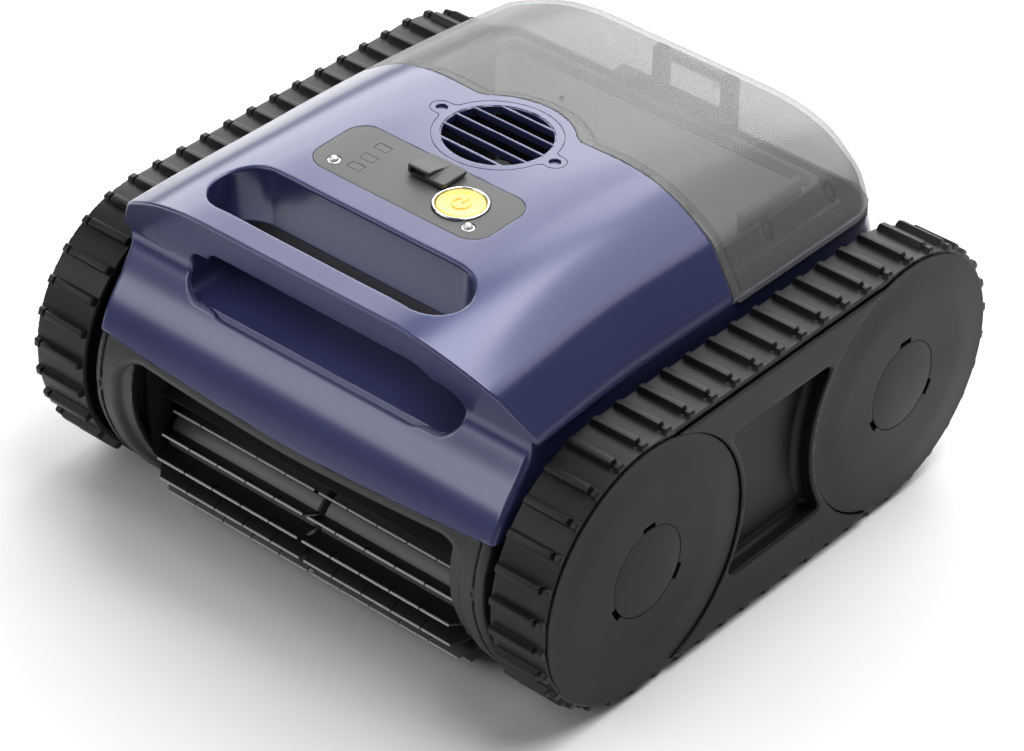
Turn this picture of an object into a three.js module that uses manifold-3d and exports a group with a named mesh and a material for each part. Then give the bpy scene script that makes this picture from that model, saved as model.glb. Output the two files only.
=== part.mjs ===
// Robotic pool cleaner with two tracks, a front brush and a top-loading filter, as a three.js scene graph.
// Millimetres. +X is the left-hand side of the machine itself, its front faces -Y, and +Z is up.
// The origin is on the ground below the middle of the machine.
import * as THREE from 'three';
import { mergeVertices } from 'three/addons/utils/BufferGeometryUtils.js';
import Module from 'manifold-3d';

const wasm = await Module();
wasm.setup();

// ---------------------------------------------------------------- driving dimensions
const GAP = 0.3;                 // clearance between touching pieces
const WALL = 3;                  // shell thickness

// running gear
const WHEEL_Y = 119.6;           // wheel axles stand at +-WHEEL_Y
const LUG_R = 90.4;              // lug tips, so also the axle height
const AXLE_Z = LUG_R;
const BELT_R = 86;
const BELT_INNER_R = 82;
const BELT_IN_X = 161;
const BELT_OUT_X = 201;
const LUG_COUNT = 50;
const LUG_WIDTH = 4.8;
const WHEEL_R = 81.2;
const COVER_R = 84.5;
const HUB_CAP_R = 29.2;
const OUTER_X = 203.8;           // outer plane of wheel covers and side panels
const COVER_T = 2.5;
const SHAFT_R = 6;

// body
const TOP_Z = 246.5;             // crown of the shell
const CROWN_Y = -65;
const CROWN_BEND = 5e-4;         // fall of the crown per mm squared away from CROWN_Y
const BASE_Z = 183.5;            // lower edge of the flared sides
const FLARE_X = 158;
const SIDE_X = 156;
const FLOOR_Z = 14;
const FLOOR_T = 4;
const SPLIT_Z = 127;             // shell above, bumper, chassis and rear panel below
const FRONT_WIDEN = 0.035;       // how much wider the shoulders stand at the front edge
const FRONT_Y = -193;
const LOFT_Y = [-208, 178];
const REAR_Y = 177.5;
const REAR_CORNER = 34;          // plan corner of the body
const RIDGE_CORNER = 70;         // plan corner of the lid's ridge, above RIDGE_Z
const RIDGE_Z = 199;
const BULGE_Y = 160;             // rear of the bulge between BULGE_Z and RIDGE_Z
const BULGE_Z = 170;
const RIDGE_Y = 165;
const BUMPER_BACK_Y = -140;
const REAR_PANEL_Y = 150;

// handle
const SLOT_Y = -153.5;
const SLOT_HALF = 94.5;
const SLOT_R = 22;
const WELL_Z = 203;              // lower end of the slot's own walls
const POCKET_HALF = 106;
const POCKET_Z = [163, 193];
const POCKET_CORNER = 14;
const HANDLE_BAR_X = 104;
const TRAY = { x: 112, y: [-168, -124], z: [157, 201.5], wall: 3 };

// lid
const LID_Z = 184.2;
const SEAM_Y = 10;
const BOSS_R = 46;               // shell boss round the outlet, which the seam follows
const HINGE_Y = 168;
const HINGE_Z = 206;
const HINGE_R = 2.5;
const KNUCKLE_R = 5;             // tube round the hinge pin on the lid, and the ends of the posts
const KNUCKLE_X = 22;
const POST_X = 27;
const POST_HALF = 4;
const HINGE_BASE = { x: 31, y: [153, 173], z: [160, 170] };

// outlet and pump
const OUTLET_Y = -18;
const OUTLET_R = 36;
const RIM_R = OUTLET_R + 3;       // edge of the round grille plate
const EAR_X = 43.7;
const EAR_R = 7;
const SLAT_PITCH = 12.9;
const SLAT_HALF = 0.8;
const PUMP = { r: 39, z: [180, 236], wall: 2.5, floor: 3, bore: 10 };
const PUMP_MOTOR = { r: 26, z: [100, 172], flangeR: 34, flangeZ: 179.5 };
const IMPELLER = { hubR: 9, hubZ: [198, 222], shaftR: 3, shaftZ: [176, 200], blades: 5 };

// control panel
const PANEL_Y = -87;
const PANEL_HALF = [66.5, 25.5];
const PANEL_CORNER = 14;
const PANEL_T = 1.2;
const BUTTON = [33.3, -87.7];
const BUTTON_R = 14.6;
const BUTTON_RING_R = 17;
const BUTTON_Z = [237, 247.3];
const PIN = [51.6, -102.2];
const PIN_R = 4;
const SOCKET = [4, -74];
const SOCKET_R = 7;
const FLAP = { x: [-11, 18], y: [-85, -63], z: 247.4 };
const LED_WINDOWS = [[-38, -75], [-37.2, -88], [-37, -99]];
const LED_HALF = [5, 3];
const LED_BAR = { x: [-46, -30], y: [-103, -72], z: [242, 244.2] };

// filter, with the inlet duct below it
const CHAMBER = { x: 132, y: [17, 145], z: [62, 178] };
const BASKET = { x: 124, y: [25, 137], z: [68, 194] };
const BASKET_WALL = 2.5;
const WINDOW_Z = [84, 176];
const WINDOW_WIDTH = 38;
const FLAP_GATE = { x: 44, y: [34, 56] };
const INLET = { x: 48, y: [31, 59] };

// electrics
const BATTERY = { x: 92, y: -43, z: 39, half: [53, 18], corner: 6 };
const BOARD = { x: [-58, 58], y: [-119, -62], z: [221, 222.6] };
const DRIVE_MOTOR = { r: 20, x: 62, capR: 14, capX: 52 };

// brush and gears
const BRUSH_Y = -150;
const BRUSH_Z = 41;
const BRUSH_R = 40.5;
const BRUSH_CORE_R = 25;
const BRUSH_END_X = 124;
const FIN_COUNT = 16;
const FIN_PHASE = 14;
const MOUTH = { z: 42.5, half: 68.5, corner: 18 };
const TUNNEL_R = 44;
const MODULE = 2;
const WHEEL_TEETH = 24;
const IDLER_TEETH = 10;
const BRUSH_TEETH = 14;
const GEAR_X = [134, 144];
const BULKHEAD_X = [126, 129];
const BRUSH_PIN_R = 3;
const BRUSH_SHAFT_R = 4;
const IDLER_SHAFT_R = 3;
const PINION_SHAFT_R = 2.5;
const SHAFT_END_X = 148;

// ---------------------------------------------------------------- solids
function solidFrom(geometry) {
  const bare = geometry.clone();
  bare.deleteAttribute('normal');
  bare.deleteAttribute('uv');
  const merged = mergeVertices(bare, 1e-4);
  const vertProperties = new Float32Array(merged.attributes.position.array);
  const triVerts = new Uint32Array(merged.index.array);
  return new wasm.Manifold(new wasm.Mesh({ numProp: 3, vertProperties, triVerts }));
}

function geometryFrom(solid) {
  const mesh = solid.getMesh();
  const geometry = new THREE.BufferGeometry();
  geometry.setAttribute('position', new THREE.BufferAttribute(mesh.vertProperties, 3));
  geometry.setIndex(new THREE.BufferAttribute(mesh.triVerts, 1));
  geometry.computeVertexNormals();
  return geometry;
}

const join = (...solids) => solids.reduce((sum, solid) => sum.add(solid));

function box([x0, x1], [y0, y1], [z0, z1]) {
  const geometry = new THREE.BoxGeometry(x1 - x0, y1 - y0, z1 - z0);
  geometry.translate((x0 + x1) / 2, (y0 + y1) / 2, (z0 + z1) / 2);
  return solidFrom(geometry);
}

// Rod along X centred on (y, z), and along Z centred on (x, y).
function rodX(radius, [x0, x1], y, z, sides = 16) {
  const geometry = new THREE.CylinderGeometry(radius, radius, x1 - x0, sides);
  geometry.rotateZ(-Math.PI / 2);
  geometry.translate((x0 + x1) / 2, y, z);
  return solidFrom(geometry);
}

function rodZ(radius, [z0, z1], x, y, sides = 16) {
  const geometry = new THREE.CylinderGeometry(radius, radius, z1 - z0, sides);
  geometry.rotateX(Math.PI / 2);
  geometry.translate(x, y, (z0 + z1) / 2);
  return solidFrom(geometry);
}

// Prisms: an outline drawn in (y, z), (x, z) or (x, y), run along the third axis.
const FRAME_X = new THREE.Matrix4().set(0, 0, 1, 0, 1, 0, 0, 0, 0, 1, 0, 0, 0, 0, 0, 1);
const FRAME_Y = new THREE.Matrix4().set(1, 0, 0, 0, 0, 0, -1, 0, 0, 1, 0, 0, 0, 0, 0, 1);

function shapeOf(outline) {
  if (outline instanceof THREE.Shape) return outline;
  return new THREE.Shape(outline.map(([a, b]) => new THREE.Vector2(a, b)));
}

function extrude(outline, depth, steps, curveSegments) {
  return new THREE.ExtrudeGeometry(shapeOf(outline), { depth, steps, curveSegments, bevelEnabled: false });
}

function prismX(outline, [x0, x1], curveSegments = 3) {
  const geometry = extrude(outline, x1 - x0, 1, curveSegments).applyMatrix4(FRAME_X);
  return solidFrom(geometry.translate(x0, 0, 0));
}

function prismY(outline, [y0, y1], curveSegments = 3) {
  const geometry = extrude(outline, y1 - y0, 1, curveSegments).applyMatrix4(FRAME_Y);
  return solidFrom(geometry.translate(0, y1, 0));
}

function prismZ(outline, [z0, z1], curveSegments = 3) {
  return solidFrom(extrude(outline, z1 - z0, 1, curveSegments).translate(0, 0, z0));
}

// Rounded rectangle centred on (cx, cy) with half sides hx, hy and corner radius r.
function roundedRect(cx, cy, hx, hy, r) {
  const shape = new THREE.Shape();
  shape.absarc(cx + hx - r, cy + hy - r, r, 0, Math.PI / 2);
  shape.absarc(cx - hx + r, cy + hy - r, r, Math.PI / 2, Math.PI);
  shape.absarc(cx - hx + r, cy - hy + r, r, Math.PI, 1.5 * Math.PI);
  shape.absarc(cx + hx - r, cy - hy + r, r, 1.5 * Math.PI, 2 * Math.PI);
  return shape;
}

// Moves each corner of a counter-clockwise outline inwards by a distance.
function inset(outline, distance) {
  const count = outline.length;
  return outline.map(([a, b], i) => {
    const [pa, pb] = outline[(i + count - 1) % count];
    const [na, nb] = outline[(i + 1) % count];
    const before = new THREE.Vector2(a - pa, b - pb).normalize();
    const after = new THREE.Vector2(na - a, nb - b).normalize();
    const side = new THREE.Vector2(-before.y - after.y, before.x + after.x).normalize();
    const stretch = distance / Math.max(0.4, side.dot(new THREE.Vector2(-after.y, after.x)));
    return [a + side.x * stretch, b + side.y * stretch];
  });
}

// Lathe about the line y, z = axle, run along X: profile points are (radius, x).
function latheX(profile, y, z, sides) {
  const closed = [...profile, profile[0]].map(([radius, x]) => new THREE.Vector2(radius, x));
  const geometry = new THREE.LatheGeometry(closed, sides);
  geometry.rotateZ(-Math.PI / 2);
  geometry.translate(0, y, z);
  return solidFrom(geometry);
}

const mirrored = (solid, side) => (side > 0 ? solid : solid.scale([-1, 1, 1]));

// ---------------------------------------------------------------- body hull
const crown = (y) => TOP_Z - CROWN_BEND * (y - CROWN_Y) ** 2;

function smoothstep(edge0, edge1, value) {
  const t = Math.min(1, Math.max(0, (value - edge0) / (edge1 - edge0)));
  return t * t * (3 - 2 * t);
}

// Half of the cross-section: flat top, round shoulder, then a slightly hollow flare down to BASE_Z.
const SHOULDER = new THREE.SplineCurve([
  [70, 246.4], [92, 242.5], [114, 233.5], [130, 223.5],
  [139, 215.5], [145, 204.5], [152, 193.5], [FLARE_X, BASE_Z],
].map(([x, z]) => new THREE.Vector2(x, z)));

function sectionOutline(distance) {
  const right = [];
  const count = 7;
  for (let i = 0; i <= count; i += 1) {
    const point = SHOULDER.getPoint(i / count);
    const tangent = SHOULDER.getTangent(i / count);
    right.push([point.x + tangent.y * distance, point.y - tangent.x * distance]);
  }
  right.push([SIDE_X - distance, BASE_Z - 0.5]);
  right.push([SIDE_X - distance, distance]);
  const left = right.map(([x, z]) => [-x, z]).reverse();
  return [...left, [0, TOP_Z - distance], ...right].reverse();
}

function loft(distance) {
  const [from, to] = LOFT_Y;
  const geometry = extrude(sectionOutline(distance), to - from, 7, 1).applyMatrix4(FRAME_Y);
  geometry.translate(0, to, 0);
  const position = geometry.attributes.position;
  for (let i = 0; i < position.count; i += 1) {
    const y = position.getY(i);
    const z = position.getZ(i);
    const squeeze = (crown(y) - BASE_Z) / (TOP_Z - BASE_Z);
    if (z > BASE_Z) position.setZ(i, BASE_Z + (z - BASE_Z) * squeeze);
    const widen = z > BASE_Z - 1 ? FRONT_WIDEN * smoothstep(-60, FRONT_Y, y) : 0;
    position.setX(i, position.getX(i) * (1 + widen));
  }
  return solidFrom(geometry);
}

// Side view: crease, groove and bulge at the front; ridge, groove and rear wall behind.
const SIDE_VIEW = [
  [-204, 261], [-165, 180], [-170, 170], [-175, 161], [-184, 152], [-190, 143], [-196, 127], [-202.3, 110],
  [-204, 92], [-203, 79], [-198, 62], [-188, 41], [-174, 22], [-168, FLOOR_Z],
  [152, FLOOR_Z], [162, 35], [171, 60], [176, 85], [177, 105], [175, 127], [169, 150], [163, 168],
  [159, 184], [157, 195], [156, 203], [167, 220], [194, 261],
];

function planOutline(distance, rearY, cornerR) {
  const corner = cornerR - distance;
  const x = FLARE_X * (1 + FRONT_WIDEN) - distance;
  const rear = rearY - distance;
  const shape = new THREE.Shape();
  shape.moveTo(-x, -210);
  shape.lineTo(x, -210);
  shape.lineTo(FLARE_X - distance, -50);
  shape.absarc(FLARE_X - distance - corner, rear - corner, corner, 0, Math.PI / 2);
  shape.absarc(-FLARE_X + distance + corner, rear - corner, corner, Math.PI / 2, Math.PI);
  shape.lineTo(-FLARE_X + distance, -50);
  return shape;
}

function hull(distance) {
  const side = prismX(inset(SIDE_VIEW, distance), [-175, 175]);
  const plan = join(
    prismZ(planOutline(distance, REAR_Y, REAR_CORNER), [0, BULGE_Z], 2),
    prismZ(planOutline(distance, BULGE_Y, REAR_CORNER), [BULGE_Z, RIDGE_Z], 2),
    prismZ(planOutline(distance, RIDGE_Y, RIDGE_CORNER), [RIDGE_Z, 270], 4),
  );
  return loft(distance).intersect(side).intersect(plan);
}

const HULL = hull(0);
const SKIN = HULL.subtract(hull(WALL));
const above = (z) => box([-250, 250], [-250, 250], [z, 300]);

// Plan region of the lid: behind a seam that runs round the outlet boss.
function lidRegion(gap) {
  const half = Math.sqrt(BOSS_R ** 2 - (SEAM_Y - OUTLET_Y) ** 2);
  const angle = Math.atan2(SEAM_Y - OUTLET_Y, half);
  const shape = new THREE.Shape();
  shape.moveTo(-200, 6 + gap);
  shape.lineTo(-115, 12.5 + gap);
  shape.lineTo(-half, SEAM_Y + gap);
  shape.absarc(0, OUTLET_Y + gap, BOSS_R, Math.PI - angle, angle, true);
  shape.lineTo(115, 12.5 + gap);
  shape.lineTo(200, 6 + gap);
  shape.lineTo(200, 230);
  shape.lineTo(-200, 230);
  return prismZ(shape, [LID_Z - GAP - 3, 300], 5);
}

function panelShape(grow) {
  const [halfX, halfY] = PANEL_HALF;
  return roundedRect(0, PANEL_Y, halfX + grow, halfY + grow, PANEL_CORNER + grow);
}

function grilleShape(grow) {
  const plate = rodZ(RIM_R + grow, [200, 260], 0, OUTLET_Y, 24);
  const ears = [-1, 1].map((side) => rodZ(EAR_R + grow, [200, 260], side * EAR_X, OUTLET_Y, 10));
  return join(plate, ...ears);
}

const RECESS = hull(PANEL_T + GAP);
const FLUSH = hull(PANEL_T);

// ---------------------------------------------------------------- body pieces
function mainShell() {
  const barBack = SLOT_Y - SLOT_R + 1;
  const bar = HULL.intersect(box([-HANDLE_BAR_X, HANDLE_BAR_X], [LOFT_Y[0], barBack], [POCKET_Z[1], 260]));
  const slotShape = (grow) => roundedRect(0, SLOT_Y, SLOT_HALF + grow, SLOT_R + grow, SLOT_R + grow);
  const well = HULL.intersect(prismZ(slotShape(WALL), [WELL_Z, 260]));
  const slot = prismZ(slotShape(0), [150, 260]);
  const pocketZ = (POCKET_Z[0] + POCKET_Z[1]) / 2;
  const pocketShape = roundedRect(0, pocketZ, POCKET_HALF, (POCKET_Z[1] - POCKET_Z[0]) / 2, POCKET_CORNER);
  const pocket = prismY(pocketShape, [-210, -150]);
  const posts = [-1, 1].map((side) => {
    const x = [side * POST_X - POST_HALF, side * POST_X + POST_HALF];
    const upright = box(x, [HINGE_Y - KNUCKLE_R, HINGE_Y + KNUCKLE_R], [HINGE_BASE.z[1], HINGE_Z]);
    const bore = rodX(HINGE_R + GAP / 2, [x[0] - 1, x[1] + 1], HINGE_Y, HINGE_Z, 12);
    return join(upright, rodX(KNUCKLE_R, x, HINGE_Y, HINGE_Z, 12)).subtract(bore);
  });
  const base = box([-HINGE_BASE.x, HINGE_BASE.x], HINGE_BASE.y, HINGE_BASE.z);
  return join(SKIN, bar, well)
    .intersect(above(SPLIT_Z))
    .subtract(slot)
    .subtract(pocket)
    .subtract(lidRegion(0))
    .subtract(prismZ(panelShape(GAP), [230, 260]).subtract(RECESS))
    .subtract(grilleShape(GAP).subtract(RECESS))
    .subtract(rodZ(OUTLET_R, [220, 260], 0, OUTLET_Y, 24))
    .subtract(rodZ(BUTTON_R + GAP, [220, 260], ...BUTTON))
    .subtract(rodZ(SOCKET_R + GAP, [220, 260], ...SOCKET))
    .subtract(box([LED_BAR.x[0] - 1, LED_BAR.x[1] + 1], [LED_BAR.y[0] - 1, LED_BAR.y[1] + 1], [220, 260]))
    .add(join(...posts, base));
}

function frontBumper() {
  const mouth = prismY(roundedRect(0, MOUTH.z, BRUSH_END_X + 1, MOUTH.half, MOUTH.corner), [-220, -130]);
  return SKIN
    .intersect(box([-200, 200], [-220, BUMPER_BACK_Y], [0, SPLIT_Z - GAP]))
    .subtract(mouth);
}

function rearPanel() {
  return SKIN.intersect(box([-200, 200], [REAR_PANEL_Y + GAP, 200], [0, SPLIT_Z - GAP]));
}

const wheelAxis = new THREE.Vector2(-WHEEL_Y, AXLE_Z);
const brushAxis = new THREE.Vector2(BRUSH_Y, BRUSH_Z);
const pitchR = (teeth) => MODULE * teeth / 2;
const lineAngle = Math.atan2(brushAxis.y - wheelAxis.y, brushAxis.x - wheelAxis.x);
const idlerReach = pitchR(WHEEL_TEETH) + pitchR(IDLER_TEETH);
const alongLine = new THREE.Vector2(Math.cos(lineAngle), Math.sin(lineAngle));
const idlerAxis = wheelAxis.clone().add(alongLine.multiplyScalar(idlerReach));
const motorAxis = wheelAxis.clone().add(new THREE.Vector2(idlerReach, 0));

// Arched strip round the brush from behind its foot to above its front.
function brushTunnel() {
  const thickness = 3;
  const start = -36 * Math.PI / 180;
  const end = 122 * Math.PI / 180;
  const shape = new THREE.Shape();
  shape.absarc(BRUSH_Y, BRUSH_Z, TUNNEL_R + thickness, start, end);
  shape.absarc(BRUSH_Y, BRUSH_Z, TUNNEL_R, end, start, true);
  return prismX(shape, [-BULKHEAD_X[0] - 1, BULKHEAD_X[0] + 1], 6);
}

function chassis() {
  const top = SPLIT_Z - GAP;
  const floorZ = [FLOOR_Z, FLOOR_Z + FLOOR_T];
  const frontY = BUMPER_BACK_Y + WALL;
  const wallX = [SIDE_X - 2 * WALL, SIDE_X];
  let solid = box([-SIDE_X, SIDE_X], [-116, REAR_PANEL_Y], floorZ);
  for (const side of [-1, 1]) {
    const wall = box(wallX, [frontY, REAR_PANEL_Y], [FLOOR_Z, top])
      .subtract(rodX(SHAFT_R + GAP, [140, 160], wheelAxis.x, wheelAxis.y, 12))
      .subtract(rodX(SHAFT_R + GAP, [140, 160], WHEEL_Y, AXLE_Z, 12));
    const bulkhead = box(BULKHEAD_X, [-185, -60], [FLOOR_Z, 118])
      .intersect(hull(WALL + GAP))
      .subtract(rodX(SHAFT_R + GAP, [120, 135], wheelAxis.x, wheelAxis.y, 12))
      .subtract(rodX(BRUSH_SHAFT_R + 2 * GAP, [120, 135], brushAxis.x, brushAxis.y, 10))
      .subtract(rodX(IDLER_SHAFT_R + GAP, [120, 135], idlerAxis.x, idlerAxis.y, 8))
      .subtract(rodX(PINION_SHAFT_R + GAP, [120, 135], motorAxis.x, motorAxis.y, 8));
    const floor = box([BULKHEAD_X[0], wallX[0] + 2], [frontY, -110], floorZ);
    solid = solid.add(mirrored(join(wall, bulkhead, floor), side));
  }
  const ductY = [INLET.y[0] - WALL, INLET.y[1] + WALL];
  const duct = box([-INLET.x - WALL, INLET.x + WALL], ductY, [FLOOR_Z, CHAMBER.z[0] - 1]);
  const inlet = box([-INLET.x, INLET.x], INLET.y, [0, 70]);
  return join(solid, brushTunnel(), duct).subtract(inlet);
}

function handleTray() {
  const { x, y: [front, back], z: [bottom, top], wall } = TRAY;
  const ends = [-1, 1].map((side) => mirrored(box([x - wall, x], [-157, back], TRAY.z), side));
  return join(
    box([-x, x], [front, back], [bottom, bottom + wall]),
    box([-x, x], [back - wall, back], [bottom, top]),
    ...ends,
  );
}

function controlPanel() {
  const [ledX, ledY] = LED_HALF;
  const windows = LED_WINDOWS.map(([x, y]) => box([x - ledX, x + ledX], [y - ledY, y + ledY], [230, 260]));
  return HULL.subtract(FLUSH)
    .intersect(prismZ(panelShape(0), [230, 260]))
    .subtract(join(...windows))
    .subtract(rodZ(BUTTON_RING_R + GAP, [230, 260], ...BUTTON))
    .subtract(rodZ(SOCKET_R + 2 * GAP, [230, 260], ...SOCKET))
    .subtract(rodZ(PIN_R + GAP, [230, 260], PIN[0], PIN[1], 16))
    .subtract(rodZ(PIN_R + GAP, [230, 260], -PIN[0], PIN[1], 16));
}

function lightGuide() {
  const [halfX, halfY] = LED_HALF.map((half) => half - GAP);
  const z = [LED_BAR.z[0] + 1, 245.9];
  const windows = LED_WINDOWS.map(([x, y]) => box([x - halfX, x + halfX], [y - halfY, y + halfY], z));
  return join(box(LED_BAR.x, LED_BAR.y, LED_BAR.z), ...windows);
}

function powerRing() {
  return rodZ(BUTTON_RING_R, [245.1, 247.1], ...BUTTON)
    .subtract(rodZ(BUTTON_R + GAP, [240, 250], ...BUTTON));
}

function contactPin(side) {
  const profile = [[0, 245], [PIN_R, 245], [PIN_R, 246.6], [PIN_R - 1, 247.8], [0, 248.3]];
  const geometry = new THREE.LatheGeometry(profile.map(([r, z]) => new THREE.Vector2(r, z)), 16);
  geometry.rotateX(Math.PI / 2);
  return solidFrom(geometry.translate(side * PIN[0], PIN[1], 0));
}

// Rubber flap over the charging socket, with a raised finger lip at its front left.
function chargePortCover() {
  const lip = [[-85, FLAP.z], [-85, 253.5], [-66, 250.5], [-66, FLAP.z]];
  return join(box(FLAP.x, FLAP.y, [FLAP.z, FLAP.z + 3]), prismX(lip, [-10, 6]))
    .subtract(box([-8, 4], [-86, -79], [246, 251.5]));
}

function chargeSocket() {
  return rodZ(SOCKET_R, [230, 246], ...SOCKET).subtract(rodZ(4.8, [234, 250], ...SOCKET));
}

function outletGrille() {
  const layer = HULL.subtract(FLUSH);
  const frame = grilleShape(0).subtract(rodZ(OUTLET_R - 2, [200, 260], 0, OUTLET_Y, 24)).intersect(layer);
  const slats = [-2, -1, 0, 1, 2].map((k) => {
    const y = OUTLET_Y + 1.5 + k * SLAT_PITCH;
    const reach = Math.sqrt((OUTLET_R - 1) ** 2 - (k * SLAT_PITCH + 1.5) ** 2);
    return box([-reach, reach], [y - SLAT_HALF, y + SLAT_HALF], [239, crown(y) - 0.6]);
  });
  const holes = [-1, 1].map((side) => rodZ(3.6, [200, 260], side * EAR_X, OUTLET_Y, 8));
  return join(frame, ...slats).subtract(join(...holes));
}

// ---------------------------------------------------------------- lid and filter
function filterLid() {
  const knuckleX = [-KNUCKLE_X, KNUCKLE_X];
  const knuckle = rodX(KNUCKLE_R, knuckleX, HINGE_Y, HINGE_Z, 12);
  const web = box(knuckleX, [HINGE_Y - 12, HINGE_Y], [HINGE_Z - 2.5, HINGE_Z + 2.5]);
  const clearance = join(...[-1, 1].map((side) => {
    const x = [side * POST_X - POST_HALF - 1, side * POST_X + POST_HALF + 1];
    return box(x, [HINGE_Y - 8, HINGE_Y + 20], [150, HINGE_Z + 6]);
  }));
  return SKIN
    .intersect(above(LID_Z))
    .intersect(lidRegion(GAP))
    .subtract(clearance)
    .add(join(knuckle, web))
    .subtract(rodX(HINGE_R + GAP, [-60, 60], HINGE_Y, HINGE_Z, 12));
}

function lidGasket() {
  return SKIN
    .intersect(box([-200, 200], [14, 200], [LID_Z - 3, LID_Z - GAP]));
}

function openBox({ x, y, z }, wall) {
  const inside = box([-x + wall, x - wall], [y[0] + wall, y[1] - wall], [z[0] + wall, z[1] + 1]);
  return box([-x, x], y, z).subtract(inside);
}

function filterChamber() {
  return openBox(CHAMBER, BASKET_WALL)
    .subtract(box([-INLET.x, INLET.x], INLET.y, [60, 70]))
    .subtract(box([-30, 30], [10, 22], [130, 170]));
}

function filterBasket() {
  const gate = box([-FLAP_GATE.x, FLAP_GATE.x], FLAP_GATE.y, [60, 80]);
  const windows = [
    ...[-100, -46, 8, 62].map((x) => box([x, x + WINDOW_WIDTH], [BASKET.y[0] - 5, BASKET.y[1] + 5], WINDOW_Z)),
    ...[36, 86].map((y) => box([-BASKET.x - 5, BASKET.x + 5], [y, y + WINDOW_WIDTH], WINDOW_Z)),
  ];
  return openBox(BASKET, BASKET_WALL).subtract(join(gate, ...windows));
}

function inletFlap() {
  const z = BASKET.z[0] + BASKET_WALL + GAP;
  return join(
    box([-FLAP_GATE.x - 3, FLAP_GATE.x + 3], [FLAP_GATE.y[0] - 3, FLAP_GATE.y[1] + 3], [z, z + 2]),
    rodX(2, [-FLAP_GATE.x - 3, FLAP_GATE.x + 3], FLAP_GATE.y[1] + 4, z + 2, 12),
  );
}

// ---------------------------------------------------------------- inner works
function pumpHousing() {
  const { r, z: [bottom, top], wall, floor, bore } = PUMP;
  const profile = [
    [bore, bottom], [r, bottom], [r, top],
    [r - wall, top], [r - wall, bottom + floor], [bore, bottom + floor],
  ];
  const closed = [...profile, profile[0]].map(([radius, z]) => new THREE.Vector2(radius, z));
  const geometry = new THREE.LatheGeometry(closed, 20);
  geometry.rotateX(Math.PI / 2);
  return solidFrom(geometry.translate(0, OUTLET_Y, 0)).subtract(box([-20, 20], [0, 40], [184, 200]));
}

function impeller() {
  const hub = rodZ(IMPELLER.hubR, IMPELLER.hubZ, 0, OUTLET_Y, 16);
  const shaft = rodZ(IMPELLER.shaftR, IMPELLER.shaftZ, 0, OUTLET_Y, 12);
  const blades = [];
  for (let k = 0; k < IMPELLER.blades; k += 1) {
    const blade = new THREE.BoxGeometry(26, 2.4, 18);
    blade.rotateX(0.5);
    blade.translate(20, 0, 210);
    blade.rotateZ(k * 2 * Math.PI / IMPELLER.blades);
    blades.push(solidFrom(blade.translate(0, OUTLET_Y, 0)));
  }
  return join(hub, shaft, ...blades);
}

function pumpMotor() {
  const { r, z, flangeR, flangeZ } = PUMP_MOTOR;
  return join(rodZ(r, z, 0, OUTLET_Y), rodZ(flangeR, [z[1], flangeZ], 0, OUTLET_Y))
    .subtract(rodZ(IMPELLER.shaftR + GAP, [z[1] + 2, 190], 0, OUTLET_Y, 12));
}

function batteryPack() {
  const { x, y, z, half, corner } = BATTERY;
  return prismX(roundedRect(y, z, ...half, corner), [-x, x], 2);
}

function controlBoard() {
  return join(box(BOARD.x, BOARD.y, BOARD.z), box([20, 46], [-100, -76], [BOARD.z[1], 230]));
}

// ---------------------------------------------------------------- running gear
// Point on the track loop: s runs along the belt surface from the middle of the bottom run.
function trackPoint(s, radius) {
  const straight = 2 * WHEEL_Y;
  const arc = Math.PI * BELT_R;
  const along = ((s % (2 * (straight + arc))) + 2 * (straight + arc)) % (2 * (straight + arc));
  if (along < straight / 2) return [along, AXLE_Z - radius];
  if (along < straight / 2 + arc) {
    const angle = (along - straight / 2) / BELT_R - Math.PI / 2;
    return [WHEEL_Y + radius * Math.cos(angle), AXLE_Z + radius * Math.sin(angle)];
  }
  if (along < straight * 1.5 + arc) return [WHEEL_Y - (along - straight / 2 - arc), AXLE_Z + radius];
  if (along < straight * 1.5 + 2 * arc) {
    const angle = (along - straight * 1.5 - arc) / BELT_R + Math.PI / 2;
    return [-WHEEL_Y + radius * Math.cos(angle), AXLE_Z + radius * Math.sin(angle)];
  }
  return [along - 2 * (straight + arc), AXLE_Z - radius];
}

function trackBelt() {
  const length = 4 * WHEEL_Y + 2 * Math.PI * BELT_R;
  const outline = [];
  for (let i = 0; i < LUG_COUNT; i += 1) {
    const s = i * length / LUG_COUNT;
    outline.push(trackPoint(s - LUG_WIDTH / 2, BELT_R), trackPoint(s - LUG_WIDTH / 2, LUG_R));
    outline.push(trackPoint(s + LUG_WIDTH / 2, LUG_R), trackPoint(s + LUG_WIDTH / 2, BELT_R));
  }
  const shape = shapeOf(outline);
  const loop = new THREE.Path();
  loop.absarc(WHEEL_Y, AXLE_Z, BELT_INNER_R, -Math.PI / 2, Math.PI / 2);
  loop.absarc(-WHEEL_Y, AXLE_Z, BELT_INNER_R, Math.PI / 2, 1.5 * Math.PI);
  shape.holes.push(loop);
  return prismX(shape, [BELT_IN_X, BELT_OUT_X], 12);
}

function wheel(y) {
  const rim = WHEEL_R - 4;
  const inner = BELT_IN_X + 2;
  const outer = BELT_OUT_X - 0.2;
  const bore = SHAFT_R + GAP / 2;
  return latheX([
    [bore, inner], [WHEEL_R, inner], [WHEEL_R, outer], [rim, outer],
    [rim, inner + 3], [14, inner + 3], [14, outer], [bore, outer],
  ], y, AXLE_Z, 24);
}

const capNotches = (y) => [0, 1, 2].map((k) => {
  const angle = Math.PI / 2 + k * 2 * Math.PI / 3;
  const at = [y + HUB_CAP_R * Math.cos(angle), AXLE_Z + HUB_CAP_R * Math.sin(angle)];
  return rodX(2.4, [190, 210], ...at, 6);
});

function wheelCover(y) {
  const inner = OUTER_X - COVER_T;
  const hole = HUB_CAP_R + GAP;
  return latheX([[hole, inner], [COVER_R, inner], [COVER_R, OUTER_X], [hole, OUTER_X]], y, AXLE_Z, 32);
}

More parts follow.
